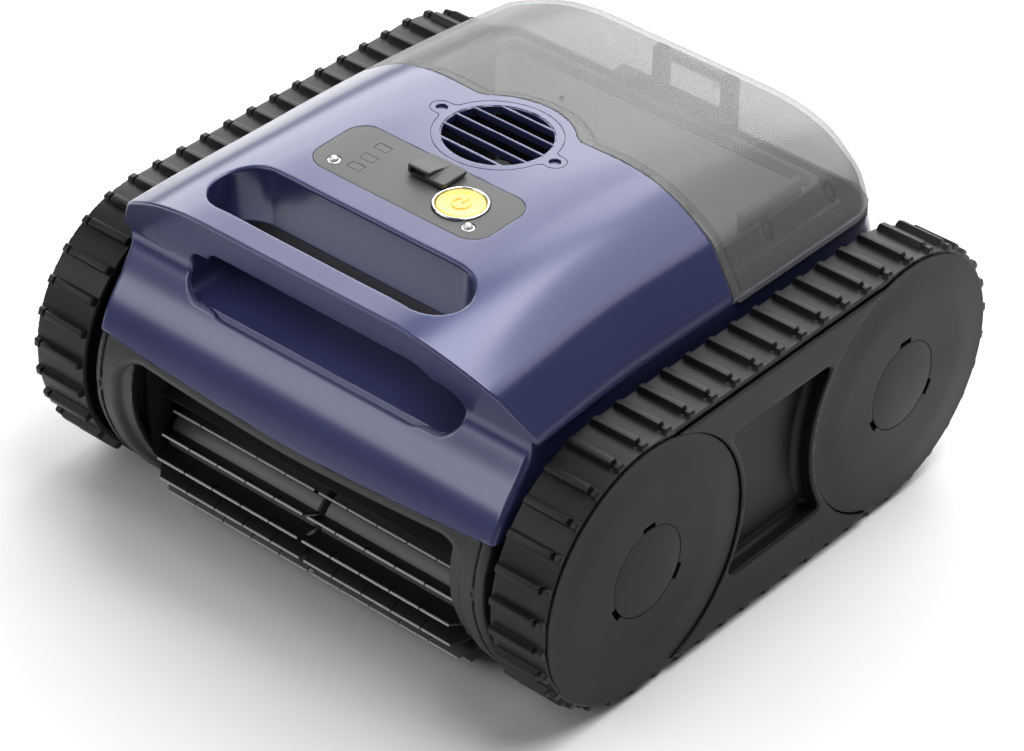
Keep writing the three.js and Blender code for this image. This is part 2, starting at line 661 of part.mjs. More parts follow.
function hubCap(y) {
  return rodX(HUB_CAP_R, [OUTER_X - COVER_T, OUTER_X], y, AXLE_Z, 24).subtract(join(...capNotches(y)));
}

// Outer side panel between the wheel covers, with a hollow that follows the wheels, and posts to the chassis.
function sidePanel() {
  const face = OUTER_X - COVER_T;
  const depth = 12;
  const edge = AXLE_Z - COVER_R;
  const clearOf = (radius, x) => join(
    rodX(radius, x, WHEEL_Y, AXLE_Z, 32),
    rodX(radius, x, -WHEEL_Y, AXLE_Z, 32),
  );
  const plate = box([face, OUTER_X], [-WHEEL_Y + 22, WHEEL_Y - 22], [edge + 1, 2 * AXLE_Z - edge - 1])
    .subtract(clearOf(COVER_R + 0.8, [190, 210]));
  const tub = (grow) => box([OUTER_X - depth - grow, OUTER_X + 1], [-60, 60], [40 - grow, 145 + grow])
    .subtract(clearOf(COVER_R + 5 - grow, [180, 210]));
  const posts = [60, 120].map((z) => rodX(7, [SIDE_X + GAP, OUTER_X - depth - 1], 0, z, 16));
  const shell = join(plate, tub(COVER_T).intersect(box([100, OUTER_X], [-80, 80], [0, 200])));
  return join(shell.subtract(tub(0)), ...posts);
}

function driveShaft() {
  return rodX(SHAFT_R, [BULKHEAD_X[0] - 2, BELT_OUT_X - 0.2], wheelAxis.x, wheelAxis.y, 12);
}

function rearAxle() {
  return rodX(SHAFT_R, [SHAFT_END_X, BELT_OUT_X - 0.2], WHEEL_Y, AXLE_Z, 12);
}

// Spur gear about (centre) with straight-sided teeth, one tooth pointing along phase.
function gear(teeth, centre, phase, bore) {
  const root = pitchR(teeth) - 1.25 * MODULE;
  const tip = pitchR(teeth) + 0.8 * MODULE;
  const pitch = 2 * Math.PI / teeth;
  const outline = [];
  for (let k = 0; k < teeth; k += 1) {
    for (const [turn, radius] of [[-0.27, root], [-0.11, tip], [0.11, tip], [0.27, root]]) {
      const angle = phase + (k + turn) * pitch;
      outline.push([centre.x + radius * Math.cos(angle), centre.y + radius * Math.sin(angle)]);
    }
  }
  return prismX(outline, GEAR_X).subtract(rodX(bore, [120, 160], centre.x, centre.y, 10));
}

// Phase that puts a gap of the second gear where the first has a tooth, along the line between them.
function meshPhase(phase, teeth, line, nextTeeth) {
  return line + Math.PI - (phase - line) * teeth / nextTeeth + Math.PI / nextTeeth;
}

const WHEEL_PHASE = lineAngle;
const IDLER_PHASE = meshPhase(WHEEL_PHASE, WHEEL_TEETH, lineAngle, IDLER_TEETH);
const BRUSH_PHASE = meshPhase(IDLER_PHASE, IDLER_TEETH, lineAngle, BRUSH_TEETH);
const PINION_PHASE = meshPhase(WHEEL_PHASE, WHEEL_TEETH, 0, IDLER_TEETH);

function idlerGear() {
  return gear(IDLER_TEETH, idlerAxis, IDLER_PHASE, 1)
    .add(rodX(IDLER_SHAFT_R, [BULKHEAD_X[0], SHAFT_END_X], idlerAxis.x, idlerAxis.y, 8));
}

function driveMotor() {
  return join(
    rodX(DRIVE_MOTOR.r, [DRIVE_MOTOR.x, BULKHEAD_X[0] - GAP], motorAxis.x, motorAxis.y),
    rodX(DRIVE_MOTOR.capR, [DRIVE_MOTOR.capX, DRIVE_MOTOR.x], motorAxis.x, motorAxis.y),
  ).subtract(rodX(PINION_SHAFT_R + GAP, [118, 140], motorAxis.x, motorAxis.y, 12));
}

function motorPinion() {
  return gear(IDLER_TEETH, motorAxis, PINION_PHASE, 1)
    .add(rodX(PINION_SHAFT_R, [119, SHAFT_END_X], motorAxis.x, motorAxis.y, 8));
}

// One half of the brush: a core with straight fins, an inner pin and an outer shaft.
function brushRoller() {
  const inner = 2;
  const root = BRUSH_CORE_R - 2;
  const outline = [
    [inner, root], [BRUSH_END_X, root], [BRUSH_END_X, 31], [BRUSH_END_X - 8, BRUSH_R], [inner, BRUSH_R],
  ];
  const fin = prismY(outline, [-0.8, 0.8]);
  let solid = join(
    rodX(BRUSH_CORE_R, [inner, BRUSH_END_X], 0, 0),
    rodX(BRUSH_PIN_R, [GAP, inner + 1], 0, 0, 12),
    rodX(BRUSH_SHAFT_R, [BRUSH_END_X - 1, SHAFT_END_X], 0, 0, 16),
  );
  for (let k = 0; k < FIN_COUNT; k += 1) {
    solid = solid.add(fin.rotate([FIN_PHASE + k * 360 / FIN_COUNT, 0, 0]));
  }
  return solid.translate([0, BRUSH_Y, BRUSH_Z]);
}

function brushCenterSupport() {
  const ring = rodX(9, [-1.4, 1.4], BRUSH_Y, BRUSH_Z);
  const strut = box([-1.4, 1.4], [BRUSH_Y - 5, BRUSH_Y + 5], [BRUSH_Z + 5, BRUSH_Z + TUNNEL_R - 0.6]);
  return join(ring, strut).subtract(rodX(BRUSH_PIN_R + 0.4, [-5, 5], BRUSH_Y, BRUSH_Z, 12));
}

// ---------------------------------------------------------------- assembly
const finish = (color, roughness, metalness = 0) => ({ color, roughness, metalness });
const NAVY = finish(0x7c80ab, 0.42);
const DARK = finish(0x2f3033, 0.55);
const TRACK = finish(0x2b2c2e, 0.6);
const PANEL_GREY = finish(0x8f908c, 0.5);
const SMOKE = finish(0x9a9a9e, 0.15);
const YELLOW = finish(0xffdd5c, 0.35);
const STEEL = finish(0xc8c8cc, 0.25, 1);
const GEAR_WHITE = finish(0xd8d6cc, 0.5);
const GREEN = finish(0x2c5a3c, 0.5);
const RUBBER = finish(0x151517, 0.8);

const group = new THREE.Group();

function place(name, solid, look) {
  const mesh = new THREE.Mesh(geometryFrom(solid), new THREE.MeshStandardMaterial(look));
  mesh.name = name;
  group.add(mesh);
}

place('main_shell', mainShell(), NAVY);
place('front_bumper', frontBumper(), DARK);
place('rear_panel', rearPanel(), DARK);
place('chassis', chassis(), DARK);
place('handle_tray', handleTray(), DARK);
place('control_panel', controlPanel(), PANEL_GREY);
place('light_guide', lightGuide(), PANEL_GREY);
place('power_ring', powerRing(), STEEL);
place('power_button', rodZ(BUTTON_R, BUTTON_Z, ...BUTTON), YELLOW);
place('charge_port_cover', chargePortCover(), PANEL_GREY);
place('charge_socket', chargeSocket(), RUBBER);
place('outlet_grille', outletGrille(), NAVY);
place('filter_lid', filterLid(), SMOKE);
place('lid_gasket', lidGasket(), RUBBER);
place('hinge_pin', rodX(HINGE_R, [-33, 33], HINGE_Y, HINGE_Z, 12), STEEL);
place('filter_chamber', filterChamber(), DARK);
place('filter_basket', filterBasket(), DARK);
place('inlet_flap', inletFlap(), RUBBER);
place('pump_housing', pumpHousing(), DARK);
place('impeller', impeller(), DARK);
place('pump_motor', pumpMotor(), STEEL);
place('battery_pack', batteryPack(), RUBBER);
place('control_board', controlBoard(), GREEN);
place('brush_center_support', brushCenterSupport(), DARK);

for (const [label, side] of [['left', 1], ['right', -1]]) {
  const put = (name, solid, look) => place(`${name}_${label}`, mirrored(solid, side), look);
  place(`contact_pin_${label}`, contactPin(side), STEEL);
  put('track_belt', trackBelt(), TRACK);
  put('front_wheel', wheel(-WHEEL_Y), TRACK);
  put('rear_wheel', wheel(WHEEL_Y), TRACK);
  put('front_wheel_cover', wheelCover(-WHEEL_Y), TRACK);
  put('rear_wheel_cover', wheelCover(WHEEL_Y), TRACK);
  put('front_hub_cap', hubCap(-WHEEL_Y), TRACK);
  put('rear_hub_cap', hubCap(WHEEL_Y), TRACK);
  put('side_panel', sidePanel(), TRACK);
  put('drive_shaft', driveShaft(), STEEL);
  put('rear_axle', rearAxle(), STEEL);
  put('drive_gear', gear(WHEEL_TEETH, wheelAxis, WHEEL_PHASE, SHAFT_R + 1.5 * GAP), GEAR_WHITE);
  put('idler_gear', idlerGear(), GEAR_WHITE);
  put('brush_gear', gear(BRUSH_TEETH, brushAxis, BRUSH_PHASE, BRUSH_SHAFT_R + 1.5 * GAP), GEAR_WHITE);
  put('drive_motor', driveMotor(), STEEL);
  put('motor_pinion', motorPinion(), GEAR_WHITE);
  put('brush_roller', brushRoller(), RUBBER);
}

export default group;
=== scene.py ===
"""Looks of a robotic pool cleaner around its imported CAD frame.

Shapes are worked out in millimetres as signed distance fields or profiles, and turned into meshes in metres.
+X is the machine's own left-hand side, its front faces -Y, and +Z is up.
"""
import math

import bmesh
import bpy
import numpy as np
from mathutils import Matrix, Vector


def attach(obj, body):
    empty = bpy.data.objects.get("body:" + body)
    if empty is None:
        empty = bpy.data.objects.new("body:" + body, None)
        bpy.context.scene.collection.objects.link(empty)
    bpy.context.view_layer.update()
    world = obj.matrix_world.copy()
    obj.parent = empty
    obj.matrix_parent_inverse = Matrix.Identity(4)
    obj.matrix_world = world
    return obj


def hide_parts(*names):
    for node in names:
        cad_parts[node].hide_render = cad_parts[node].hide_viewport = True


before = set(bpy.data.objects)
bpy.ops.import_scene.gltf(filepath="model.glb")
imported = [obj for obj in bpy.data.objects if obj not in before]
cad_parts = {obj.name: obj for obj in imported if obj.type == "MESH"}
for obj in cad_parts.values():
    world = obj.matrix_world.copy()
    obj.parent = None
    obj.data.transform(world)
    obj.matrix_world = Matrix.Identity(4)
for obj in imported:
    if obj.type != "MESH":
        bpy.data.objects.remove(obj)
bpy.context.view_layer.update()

MM = 0.001      # metres in a millimetre
GAP = 0.3       # clearance between neighbouring mouldings
WALL = 3.0      # thickness of the shells

# running gear
WHEEL_Y = 119.6
AXLE_Z = 90.4
LUG_R = 90.4
BELT_R = 86.0
BELT_INNER_R = 82.0
BELT_X = (161.0, 201.0)
LUG_COUNT = 50
LUG_FOOT = 3.1  # half of a lug's length along the belt
GAP_STEPS = 5   # straight steps of the belt between two lugs
COVER_R = 84.5
COVER_T = 2.5
HUB_CAP_R = 29.2
OUTER_X = 203.8
PIT_DEPTH = 12.0

# body
TOP_Z = 246.5
CROWN_Y = -65.0
CROWN_BEND = 5e-4
BASE_Z = 183.5
FLARE_X = 158.0
SIDE_X = 156.0
SPLIT_Z = 127.0
SPLIT_DIP = 7.5
FRONT_WIDEN = 0.035
WIDEN_FROM = -60.0
FRONT_Y = -193.0
REAR_CORNER = 34.0
RIDGE_CORNER = 50.0
RIDGE_Z = (196.0, 216.0)
SHOULDER_R = 5.0
BROW_R = 1.8

# handle
SLOT = (0.0, -153.5)
SLOT_HALF = 94.5
SLOT_R = 22.0
WELL_Z = 203.0
POCKET_HALF = 106.0
POCKET_Z = (163.0, 193.0)
POCKET_CORNER = 14.0
POCKET_BACK = -150.0
BAR_HALF = 111.0
TRAY_HALF = 112.0
TRAY_Z = (157.0, 201.5)
TRAY_Y = (-176.0, -127.5)

# lid and outlet
LID_Z = 184.2
BOSS_R = 46.0
HINGE = (168.0, 206.0)
KNUCKLE_R = 5.0
KNUCKLE_X = 22.0
POST_X = 27.0
OUTLET_Y = -18.0
OUTLET_R = 36.0
EAR_X = 43.7
SLAT_PITCH = 12.9

# control panel
PANEL_Y = -87.0
PANEL_HALF = (66.5, 25.5)
PANEL_CORNER = 14.0
PANEL_T = 1.2
BUTTON = (33.3, -87.7)
BUTTON_R = 14.6
RING_R = 17.0
PIN = (51.6, -102.2)
PIN_R = 4.0
SOCKET = (4.0, -74.0)
SOCKET_R = 7.0
LED_WINDOWS = ((-38.0, -75.0), (-37.2, -88.0), (-37.0, -99.0))
LED_HALF = (5.0, 3.0)

# brush
BRUSH = (-150.0, 41.0)
BRUSH_R = 40.5
BRUSH_CORE_R = 25.0
BRUSH_X = (2.0, 124.0)
FIN_COUNT = 16
FIN_PHASE = 104.0
FIN_HALF = 0.65     # half of a fin's thickness
FIN_LEAN = 1.2      # how far a fin's edge leans round
FIN_SLANT = 7.0     # length of a fin's slanted end
TAB_COUNT = 5
TAB_R = BRUSH_R - 0.6
SLIT = 1.1
SLIT_R = 33.0
MOUTH_X = 134.0

# filter basket
BASKET_Y = 81.0
BASKET_HALF = (124.0, 56.0)
WINDOW_HALF = (19.0, 46.0)
WINDOW_Z = 130.0
WINDOW_PITCH = 54.0

# meshing
CORNERS = [(i, j, k) for i in (0, 1) for j in (0, 1) for k in (0, 1)]
STRIDE = 6          # cells in a coarse block, along each side
NEAR = 1.25         # a block is worked out when a corner of it is this near the surface, in blocks
MARGIN = 1.37       # cells before the low corner, uneven so that flat faces miss the grid's planes
PULL = 0.05         # weight that draws a vertex to the middle of its crossings
CREASE = 34         # degrees between field and face beyond which a corner is shaded flat
UNSURE = 12         # degrees beyond which the normal is read again, further inside the face

SIDES = (("left", 1), ("right", -1))


# ---------------------------------------------------------------- distance fields
def smoothstep(edge0, edge1, value):
    t = np.clip((value - edge0) / (edge1 - edge0), 0, 1)
    return t * t * (3 - 2 * t)


def both(a, b, r=0.0):
    """Intersection of two fields, with its edges rounded to radius r."""
    if np.ndim(r) == 0 and r <= 0:
        return np.maximum(a, b)
    corner = np.hypot(np.maximum(a + r, 0), np.maximum(b + r, 0))
    return np.minimum(np.maximum(a, b), -r) + corner


def either(a, b, r=0.0):
    """Union of two fields, with its inner corners filled to radius r."""
    return -both(-a, -b, r)


def cut(a, b, r=0.0):
    return both(a, -b, r)


def slab(v, low, high):
    return np.maximum(low - v, v - high)


def rect(u, v, hu, hv, r):
    """Rounded rectangle of half sides hu, hv about the origin of (u, v)."""
    qu, qv = np.abs(u) - hu + r, np.abs(v) - hv + r
    return np.hypot(np.maximum(qu, 0), np.maximum(qv, 0)) + np.minimum(np.maximum(qu, qv), 0) - r


def block(p, low, high, r=0.0):
    """Box between two corners, with edges rounded to r."""
    sides = [slab(v, a, b) for v, a, b in zip(p, low, high)]
    return both(both(sides[0], sides[1], r), sides[2], r)


def disc(u, v, cu, cv, r):
    return np.hypot(u - cu, v - cv) - r


def curve(points):
    """Natural cubic spline through points, straight beyond its ends. Gives the value and its slope."""
    x, y = np.array(points, float).T
    h = np.diff(x)
    system, right = np.eye(len(x)), np.zeros(len(x))
    for i in range(1, len(x) - 1):
        system[i, i - 1:i + 2] = h[i - 1], 2 * (h[i - 1] + h[i]), h[i]
        right[i] = 6 * ((y[i + 1] - y[i]) / h[i] - (y[i] - y[i - 1]) / h[i - 1])
    bend = np.linalg.solve(system, right)

    def value(q):
        inner = np.clip(q, x[0], x[-1])
        i = np.clip(np.searchsorted(x, inner) - 1, 0, len(h) - 1)
        a, b, k = x[i + 1] - inner, inner - x[i], h[i]
        before = y[i] / k - bend[i] * k / 6
        after = y[i + 1] / k - bend[i + 1] * k / 6
        height = (bend[i] * a ** 3 + bend[i + 1] * b ** 3) / (6 * k) + before * a + after * b
        slope = (bend[i + 1] * b ** 2 - bend[i] * a ** 2) / (2 * k) - before + after
        return height + (q - inner) * slope, slope

    return value


# ---------------------------------------------------------------- meshes from fields
def crossings(field, values, known, low, cell, axis):
    """Points where the grid's edges along one axis pass through the surface, with their outward normals."""
    inside = values < 0
    lead, trail = [slice(None)] * 3, [slice(None)] * 3
    lead[axis], trail[axis] = slice(0, -1), slice(1, None)
    lead, trail = tuple(lead), tuple(trail)
    at = np.argwhere((inside[lead] != inside[trail]) & known[lead] & known[trail])
    step = np.zeros(3)
    step[axis] = 1
    ends = values[tuple(at.T)], values[tuple((at + step.astype(int)).T)]
    start, end = np.zeros(len(at)), np.ones(len(at))
    f0, f1 = (e.astype(float) for e in ends)
    for _ in range(3):  # rounds of false position, never quite at an end of the edge
        t = start + (end - start) * np.clip(f0 / (f0 - f1), 0.02, 0.98)
        f = field(*(low + cell * (at + t[:, None] * step)).T)
        same = (f < 0) == (f0 < 0)
        start, f0 = np.where(same, t, start), np.where(same, f, f0)
        end, f1 = np.where(same, end, t), np.where(same, f1, f)
    t = start + (end - start) * f0 / (f0 - f1)
    points = low + cell * (at + t[:, None] * step)
    return at, points, gradient(field, points), ends[0] < 0


def gradient(field, points, reach=0.03):
    slopes = []
    for axis in range(3):
        step = np.zeros(3)
        step[axis] = reach
        slopes.append(field(*(points + step).T) - field(*(points - step).T))
    normal = np.stack(slopes, 1)
    return normal / np.maximum(np.linalg.norm(normal, axis=1, keepdims=True), 1e-12)


def sample(field, low, cell, count):
    """Values of the field on a grid, worked out only in the blocks that the surface may pass through."""
    coarse_axes = [low[i] + cell * STRIDE * np.arange(count[i] // STRIDE + 1) for i in range(3)]
    grid = np.meshgrid(*coarse_axes, indexing="ij")
    coarse = np.abs(field(*[g.ravel() for g in grid])).reshape(grid[0].shape)
    near = coarse < NEAR * STRIDE * cell
    blocks = np.zeros(np.array(near.shape) - 1, bool)
    for i, j, k in CORNERS:
        blocks |= near[i:near.shape[0] - 1 + i, j:near.shape[1] - 1 + j, k:near.shape[2] - 1 + k]
    known = np.zeros(count + 1, bool)
    cells = blocks.repeat(STRIDE, 0).repeat(STRIDE, 1).repeat(STRIDE, 2)
    for i, j, k in CORNERS:
        known[i:count[0] + i, j:count[1] + j, k:count[2] + k] |= cells
    at = np.argwhere(known)
    values = np.ones(count + 1, np.float32)
    values[known] = field(*(low + cell * at).T)
    return values, known


def contour(field, low, high, cell):
    """Dual contouring: one vertex in each grid cell that the surface passes, placed by the tangent planes."""
    low = np.array(low, float) - MARGIN * cell
    count = np.ceil((np.array(high, float) + 1.5 * cell - low) / cell / STRIDE).astype(int) * STRIDE
    values, known = sample(field, low, cell, count)
    strides = np.array([count[1] * count[2], count[2], 1])
    quads, points, normals = [], [], []
    for axis in range(3):
        at, where, normal, leads_inside = crossings(field, values, known, low, cell, axis)
        u, v = (axis + 1) % 3, (axis + 2) % 3
        ring = []
        for du, dv in ((0, 0), (1, 0), (1, 1), (0, 1)):
            corner = at.copy()
            corner[:, u] -= du
            corner[:, v] -= dv
            ring.append(corner @ strides)
        ring = np.stack(ring, 1)
        quads.append(np.where(leads_inside[:, None], ring, ring[:, ::-1]))
        points.append(where.repeat(4, 0))
        normals.append(normal.repeat(4, 0))
    quads, points, normals = (np.concatenate(a) for a in (quads, points, normals))
    ids, index = np.unique(quads.ravel(), return_inverse=True)
    total = np.bincount(index)

    def summed(weights):
        return np.bincount(index, weights)

    centre = np.stack([summed(points[:, i]) / total for i in range(3)], 1)
    offset = ((points - centre[index]) * normals).sum(1)
    matrix = np.zeros((len(ids), 3, 3))
    for i in range(3):
        for j in range(i, 3):
            matrix[:, i, j] = matrix[:, j, i] = summed(normals[:, i] * normals[:, j])
        matrix[:, i, i] += PULL * total
    right = np.stack([summed(normals[:, i] * offset) for i in range(3)], 1)
    moved = centre + np.linalg.solve(matrix, right[:, :, None])[:, :, 0]
    corner = low + cell * np.stack([ids // strides[0], ids // strides[1] % count[1], ids % count[2]], 1)
    return np.clip(moved, corner, corner + cell), index.reshape(-1, 4)


def mesh_of(name, points, faces):
    """A mesh in metres from points in millimetres and faces that all have the same number of corners."""
    mesh = bpy.data.meshes.new(name)
    points, faces = np.asarray(points, np.float32), np.asarray(faces, np.int32)
    mesh.vertices.add(len(points))
    mesh.vertices.foreach_set("co", (points * MM).astype(np.float32).ravel())
    mesh.loops.add(faces.size)
    mesh.loops.foreach_set("vertex_index", faces.ravel())
    mesh.polygons.add(len(faces))
    mesh.polygons.foreach_set("loop_start", np.arange(0, faces.size, faces.shape[1], dtype=np.int32))
    mesh.update(calc_edges=True)
    mesh.validate()
    return mesh


def read(mesh):
    """Vertices in millimetres, and each face corner's vertex, face normal and face centre."""
    points = np.zeros(len(mesh.vertices) * 3, np.float32)
    mesh.vertices.foreach_get("co", points)
    corner = np.zeros(len(mesh.loops), np.int32)
    mesh.loops.foreach_get("vertex_index", corner)
    sides = np.zeros(len(mesh.polygons), np.int32)
    mesh.polygons.foreach_get("loop_total", sides)
    flat = np.zeros(len(mesh.polygons) * 3, np.float32)
    mesh.polygons.foreach_get("normal", flat)
    points = points.reshape(-1, 3).astype(float) / MM
    starts = np.concatenate([[0], np.cumsum(sides)[:-1]])
    centre = np.add.reduceat(points[corner], starts, 0) / sides[:, None]
    return points, corner, flat.reshape(-1, 3).repeat(sides, 0), centre.repeat(sides, 0)


def apply_modifiers(piece):
    graph = bpy.context.evaluated_depsgraph_get()
    mesh = bpy.data.meshes.new_from_object(piece.evaluated_get(graph))
    piece.modifiers.clear()
    piece.data = mesh


def sculpt(name, field, low, high, cell, keep):
    """A piece meshed from a field between two corners, and thinned to the share of its faces in keep.

    Normals come from the field's slope, except at creases, where the face's own is used.
    """
    points, quads = contour(field, low, high, cell)
    piece = bpy.data.objects.new(name, mesh_of(name, points, quads))
    bpy.context.scene.collection.objects.link(piece)
    thin = piece.modifiers.new("thin", "DECIMATE")
    thin.ratio = keep
    apply_modifiers(piece)
    mesh = piece.data
    mesh.shade_smooth()
    points, corner, flat, centre = read(mesh)
    smooth = gradient(field, points, 0.12)[corner]
    unsure = (smooth * flat).sum(1) < math.cos(math.radians(UNSURE))
    inward = 0.75 * points[corner[unsure]] + 0.25 * centre[unsure]
    smooth[unsure] = gradient(field, inward, 0.06)
    crisp = (smooth * flat).sum(1) < math.cos(math.radians(CREASE))
    mesh.normals_split_custom_set(np.where(crisp[:, None], flat, smooth).tolist())
    return piece


def piece_from(name, points, faces, smooth_angle=35):
    """A piece from points and mixed faces, shaded smooth below an angle."""
    mesh = bpy.data.meshes.new(name)
    mesh.from_pydata([Vector(p) * MM for p in points], [], [tuple(int(i) for i in f) for f in faces])
    mesh.shade_smooth()
    mesh.set_sharp_from_angle(angle=math.radians(smooth_angle))
    piece = bpy.data.objects.new(name, mesh)
    bpy.context.scene.collection.objects.link(piece)
    return piece


def lathe(name, profile, centre, axis, sides=96):
    """Closed ring or plug turned about an axis through centre. The profile is (radius, along) pairs."""
    points, faces = [], []
    ring = []
    for radius, along in profile:
        if radius < 1e-6:
            ring.append([len(points)] * sides)
            points.append(turned(0, 0, along, centre, axis))
            continue
        ring.append(list(range(len(points), len(points) + sides)))
        for k in range(sides):
            angle = 2 * math.pi * k / sides
            points.append(turned(radius * math.cos(angle), radius * math.sin(angle), along, centre, axis))
    count = len(profile)
    closes = profile[0][0] > 1e-6 and profile[-1][0] > 1e-6
    for i in range(count if closes else count - 1):
        a, b = ring[i], ring[(i + 1) % count]
        for k in range(sides):
            n = (k + 1) % sides
            face = [a[k], a[n], b[n], b[k]]
            face = [v for j, v in enumerate(face) if v != face[j - 1]]
            if len(face) > 2:
                faces.append(face)
    piece = piece_from(name, points, faces)
    outward(piece)
    return piece


def turned(u, v, along, centre, axis):
    if axis == "X":
        return centre[0] + along, centre[1] + u, centre[2] + v
    return centre[0] + u, centre[1] + v, centre[2] + along


def outward(piece):
    """Turns every face of a closed mesh outwards."""
    shape = bmesh.new()
    shape.from_mesh(piece.data)
    bmesh.ops.recalc_face_normals(shape, faces=shape.faces)
    shape.to_mesh(piece.data)
    shape.free()


def arc_profile(cr, ca, radius, start, end, count=5):
    """Points of an arc in a lathe profile, in degrees from the outward direction."""
    angles = [math.radians(start + (end - start) * i / count) for i in range(count + 1)]
    return [(cr + radius * math.cos(a), ca + radius * math.sin(a)) for a in angles]


# ---------------------------------------------------------------- materials
def node(tree, kind, x, y, **inputs):
    made = tree.nodes.new(kind)
    made.location = (x, y)
    for key, value in inputs.items():
        made.inputs[key.replace("_", " ")].default_value = value
    return made


def plastic(name, color, rough, grain=900, bump=0.03, mottle=0.06, uneven=0.06, **sockets):
    """Moulded or painted surface: slight colour variation, uneven gloss and a fine grain in the normals."""
    made = bpy.data.materials.new(name)
    made.use_nodes = True
    tree = made.node_tree
    shader = tree.nodes["Principled BSDF"]
    for key, value in sockets.items():
        shader.inputs[key.replace("_", " ")].default_value = value
    place = node(tree, "ShaderNodeTexCoord", -1100, 0)
    broad = node(tree, "ShaderNodeTexNoise", -900, 200, Scale=14, Detail=4)
    fine = node(tree, "ShaderNodeTexNoise", -900, -200, Scale=grain, Detail=2)
    tree.links.new(place.outputs["Object"], broad.inputs["Vector"])
    tree.links.new(place.outputs["Object"], fine.inputs["Vector"])
    shades = node(tree, "ShaderNodeValToRGB", -650, 260)
    low, high = shades.color_ramp.elements
    low.position, high.position = 0.3, 0.7
    low.color = (*[c * (1 - mottle) for c in color], 1)
    high.color = (*[min(1, c * (1 + mottle)) for c in color], 1)
    tree.links.new(broad.outputs["Fac"], shades.inputs["Fac"])
    tree.links.new(shades.outputs["Color"], shader.inputs["Base Color"])
    gloss = node(tree, "ShaderNodeMapRange", -650, -20)
    gloss.inputs["From Min"].default_value = 0.25
    gloss.inputs["From Max"].default_value = 0.75
    gloss.inputs["To Min"].default_value = max(0.02, rough - uneven)
    gloss.inputs["To Max"].default_value = rough + uneven
    tree.links.new(broad.outputs["Fac"], gloss.inputs["Value"])
    tree.links.new(gloss.outputs["Result"], shader.inputs["Roughness"])
    if bump > 0:
        relief = node(tree, "ShaderNodeBump", -350, -250, Strength=bump, Distance=0.0004)
        tree.links.new(fine.outputs["Fac"], relief.inputs["Height"])
        tree.links.new(relief.outputs["Normal"], shader.inputs["Normal"])
    return made


def srgb(r, g, b):
    return tuple(((c / 255 + 0.055) / 1.055) ** 2.4 if c > 10 else c / 255 / 12.92 for c in (r, g, b))


def dress(piece, made, slot, body, *nodes):
    """Gives a new piece its material and body, and hides the CAD nodes that it stands for. The slot argument
    is not used.
    """
    piece.data.materials.clear()
    piece.data.materials.append(made)
    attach(piece, body)
    if nodes:
        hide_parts(*nodes)
    return piece


def carry(made, *names, edge=0.5):
    """A CAD node that stays in view gets a material and softly rounded edges."""
    for name in names:
        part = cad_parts[name]
        part.data.materials.clear()
        part.data.materials.append(made)
        soft = part.modifiers.new("soft_edges", "BEVEL")
        soft.width = edge * MM
        soft.segments = 2
        soft.limit_method = "ANGLE"
        soft.angle_limit = math.radians(40)


NAVY = plastic("navy_paint", srgb(54, 58, 99), 0.4, bump=0.015, mottle=0.02, uneven=0.02,
               IOR=1.15, Metallic=0.4, Coat_Weight=1.0, Coat_Roughness=0.2, Coat_IOR=1.55)
DARK = plastic("dark_moulding", srgb(36, 36, 36), 0.4, bump=0.05)
TRACK = plastic("track_rubber", srgb(17, 17, 18), 0.45, grain=700, bump=0.1, mottle=0.1, IOR=1.4)
COVER = plastic("cover_moulding", srgb(17, 17, 18), 0.45, grain=1200, bump=0.06, IOR=1.3)
PANEL = plastic("panel_moulding", srgb(70, 71, 70), 0.42, bump=0.03)
WINDOW = plastic("window_moulding", srgb(70, 71, 70), 0.4, bump=0.02)
FLAP = plastic("flap_rubber", srgb(60, 60, 60), 0.4, bump=0.06)
CHROME = plastic("chrome", srgb(225, 225, 230), 0.08, bump=0.004, mottle=0.01, uneven=0.02, Metallic=1.0)
YELLOW = plastic("yellow_button", srgb(255, 220, 92), 0.3, bump=0.01, mottle=0.02, Coat_Weight=0.5)
ORANGE = plastic("orange_symbol", srgb(252, 190, 74), 0.3, bump=0.01, mottle=0.02)
SEAL = plastic("seal_rubber", srgb(24, 24, 26), 0.6, bump=0.08)
INNER = plastic("inner_moulding", srgb(40, 40, 43), 0.5, bump=0.06)
BASKET = plastic("basket_moulding", srgb(62, 62, 66), 0.45, bump=0.05)
MESH = plastic("filter_mesh", srgb(222, 222, 221), 0.7, grain=2500, bump=0.08, mottle=0.02)
PIN_METAL = plastic("pin_metal", srgb(236, 236, 236), 0.38, bump=0.01, mottle=0.01, Metallic=0.8)
COPPER = plastic("copper_pin", srgb(196, 120, 84), 0.3, grain=2400, bump=0.04, Metallic=1.0)
GEAR = plastic("gear_moulding", srgb(222, 219, 208), 0.4, bump=0.03)
STEEL = plastic("turned_steel", srgb(190, 190, 195), 0.28, grain=2400, bump=0.05, Metallic=1.0)
WRAP = plastic("battery_wrap", srgb(38, 40, 48), 0.35, bump=0.08)
BOARD = plastic("solder_mask", srgb(36, 92, 60), 0.35, bump=0.05)
BLADE = plastic("brush_rubber", srgb(24, 24, 25), 0.45, grain=1500, bump=0.08)
# painted highlight: pale grey on the fin tips stands in for light caught on their edges
TIP = plastic("painted_highlight_rubber", srgb(176, 176, 176), 0.4, grain=1500, bump=0.05)
CORE = plastic("brush_core", srgb(100, 100, 101), 0.4, bump=0.04)


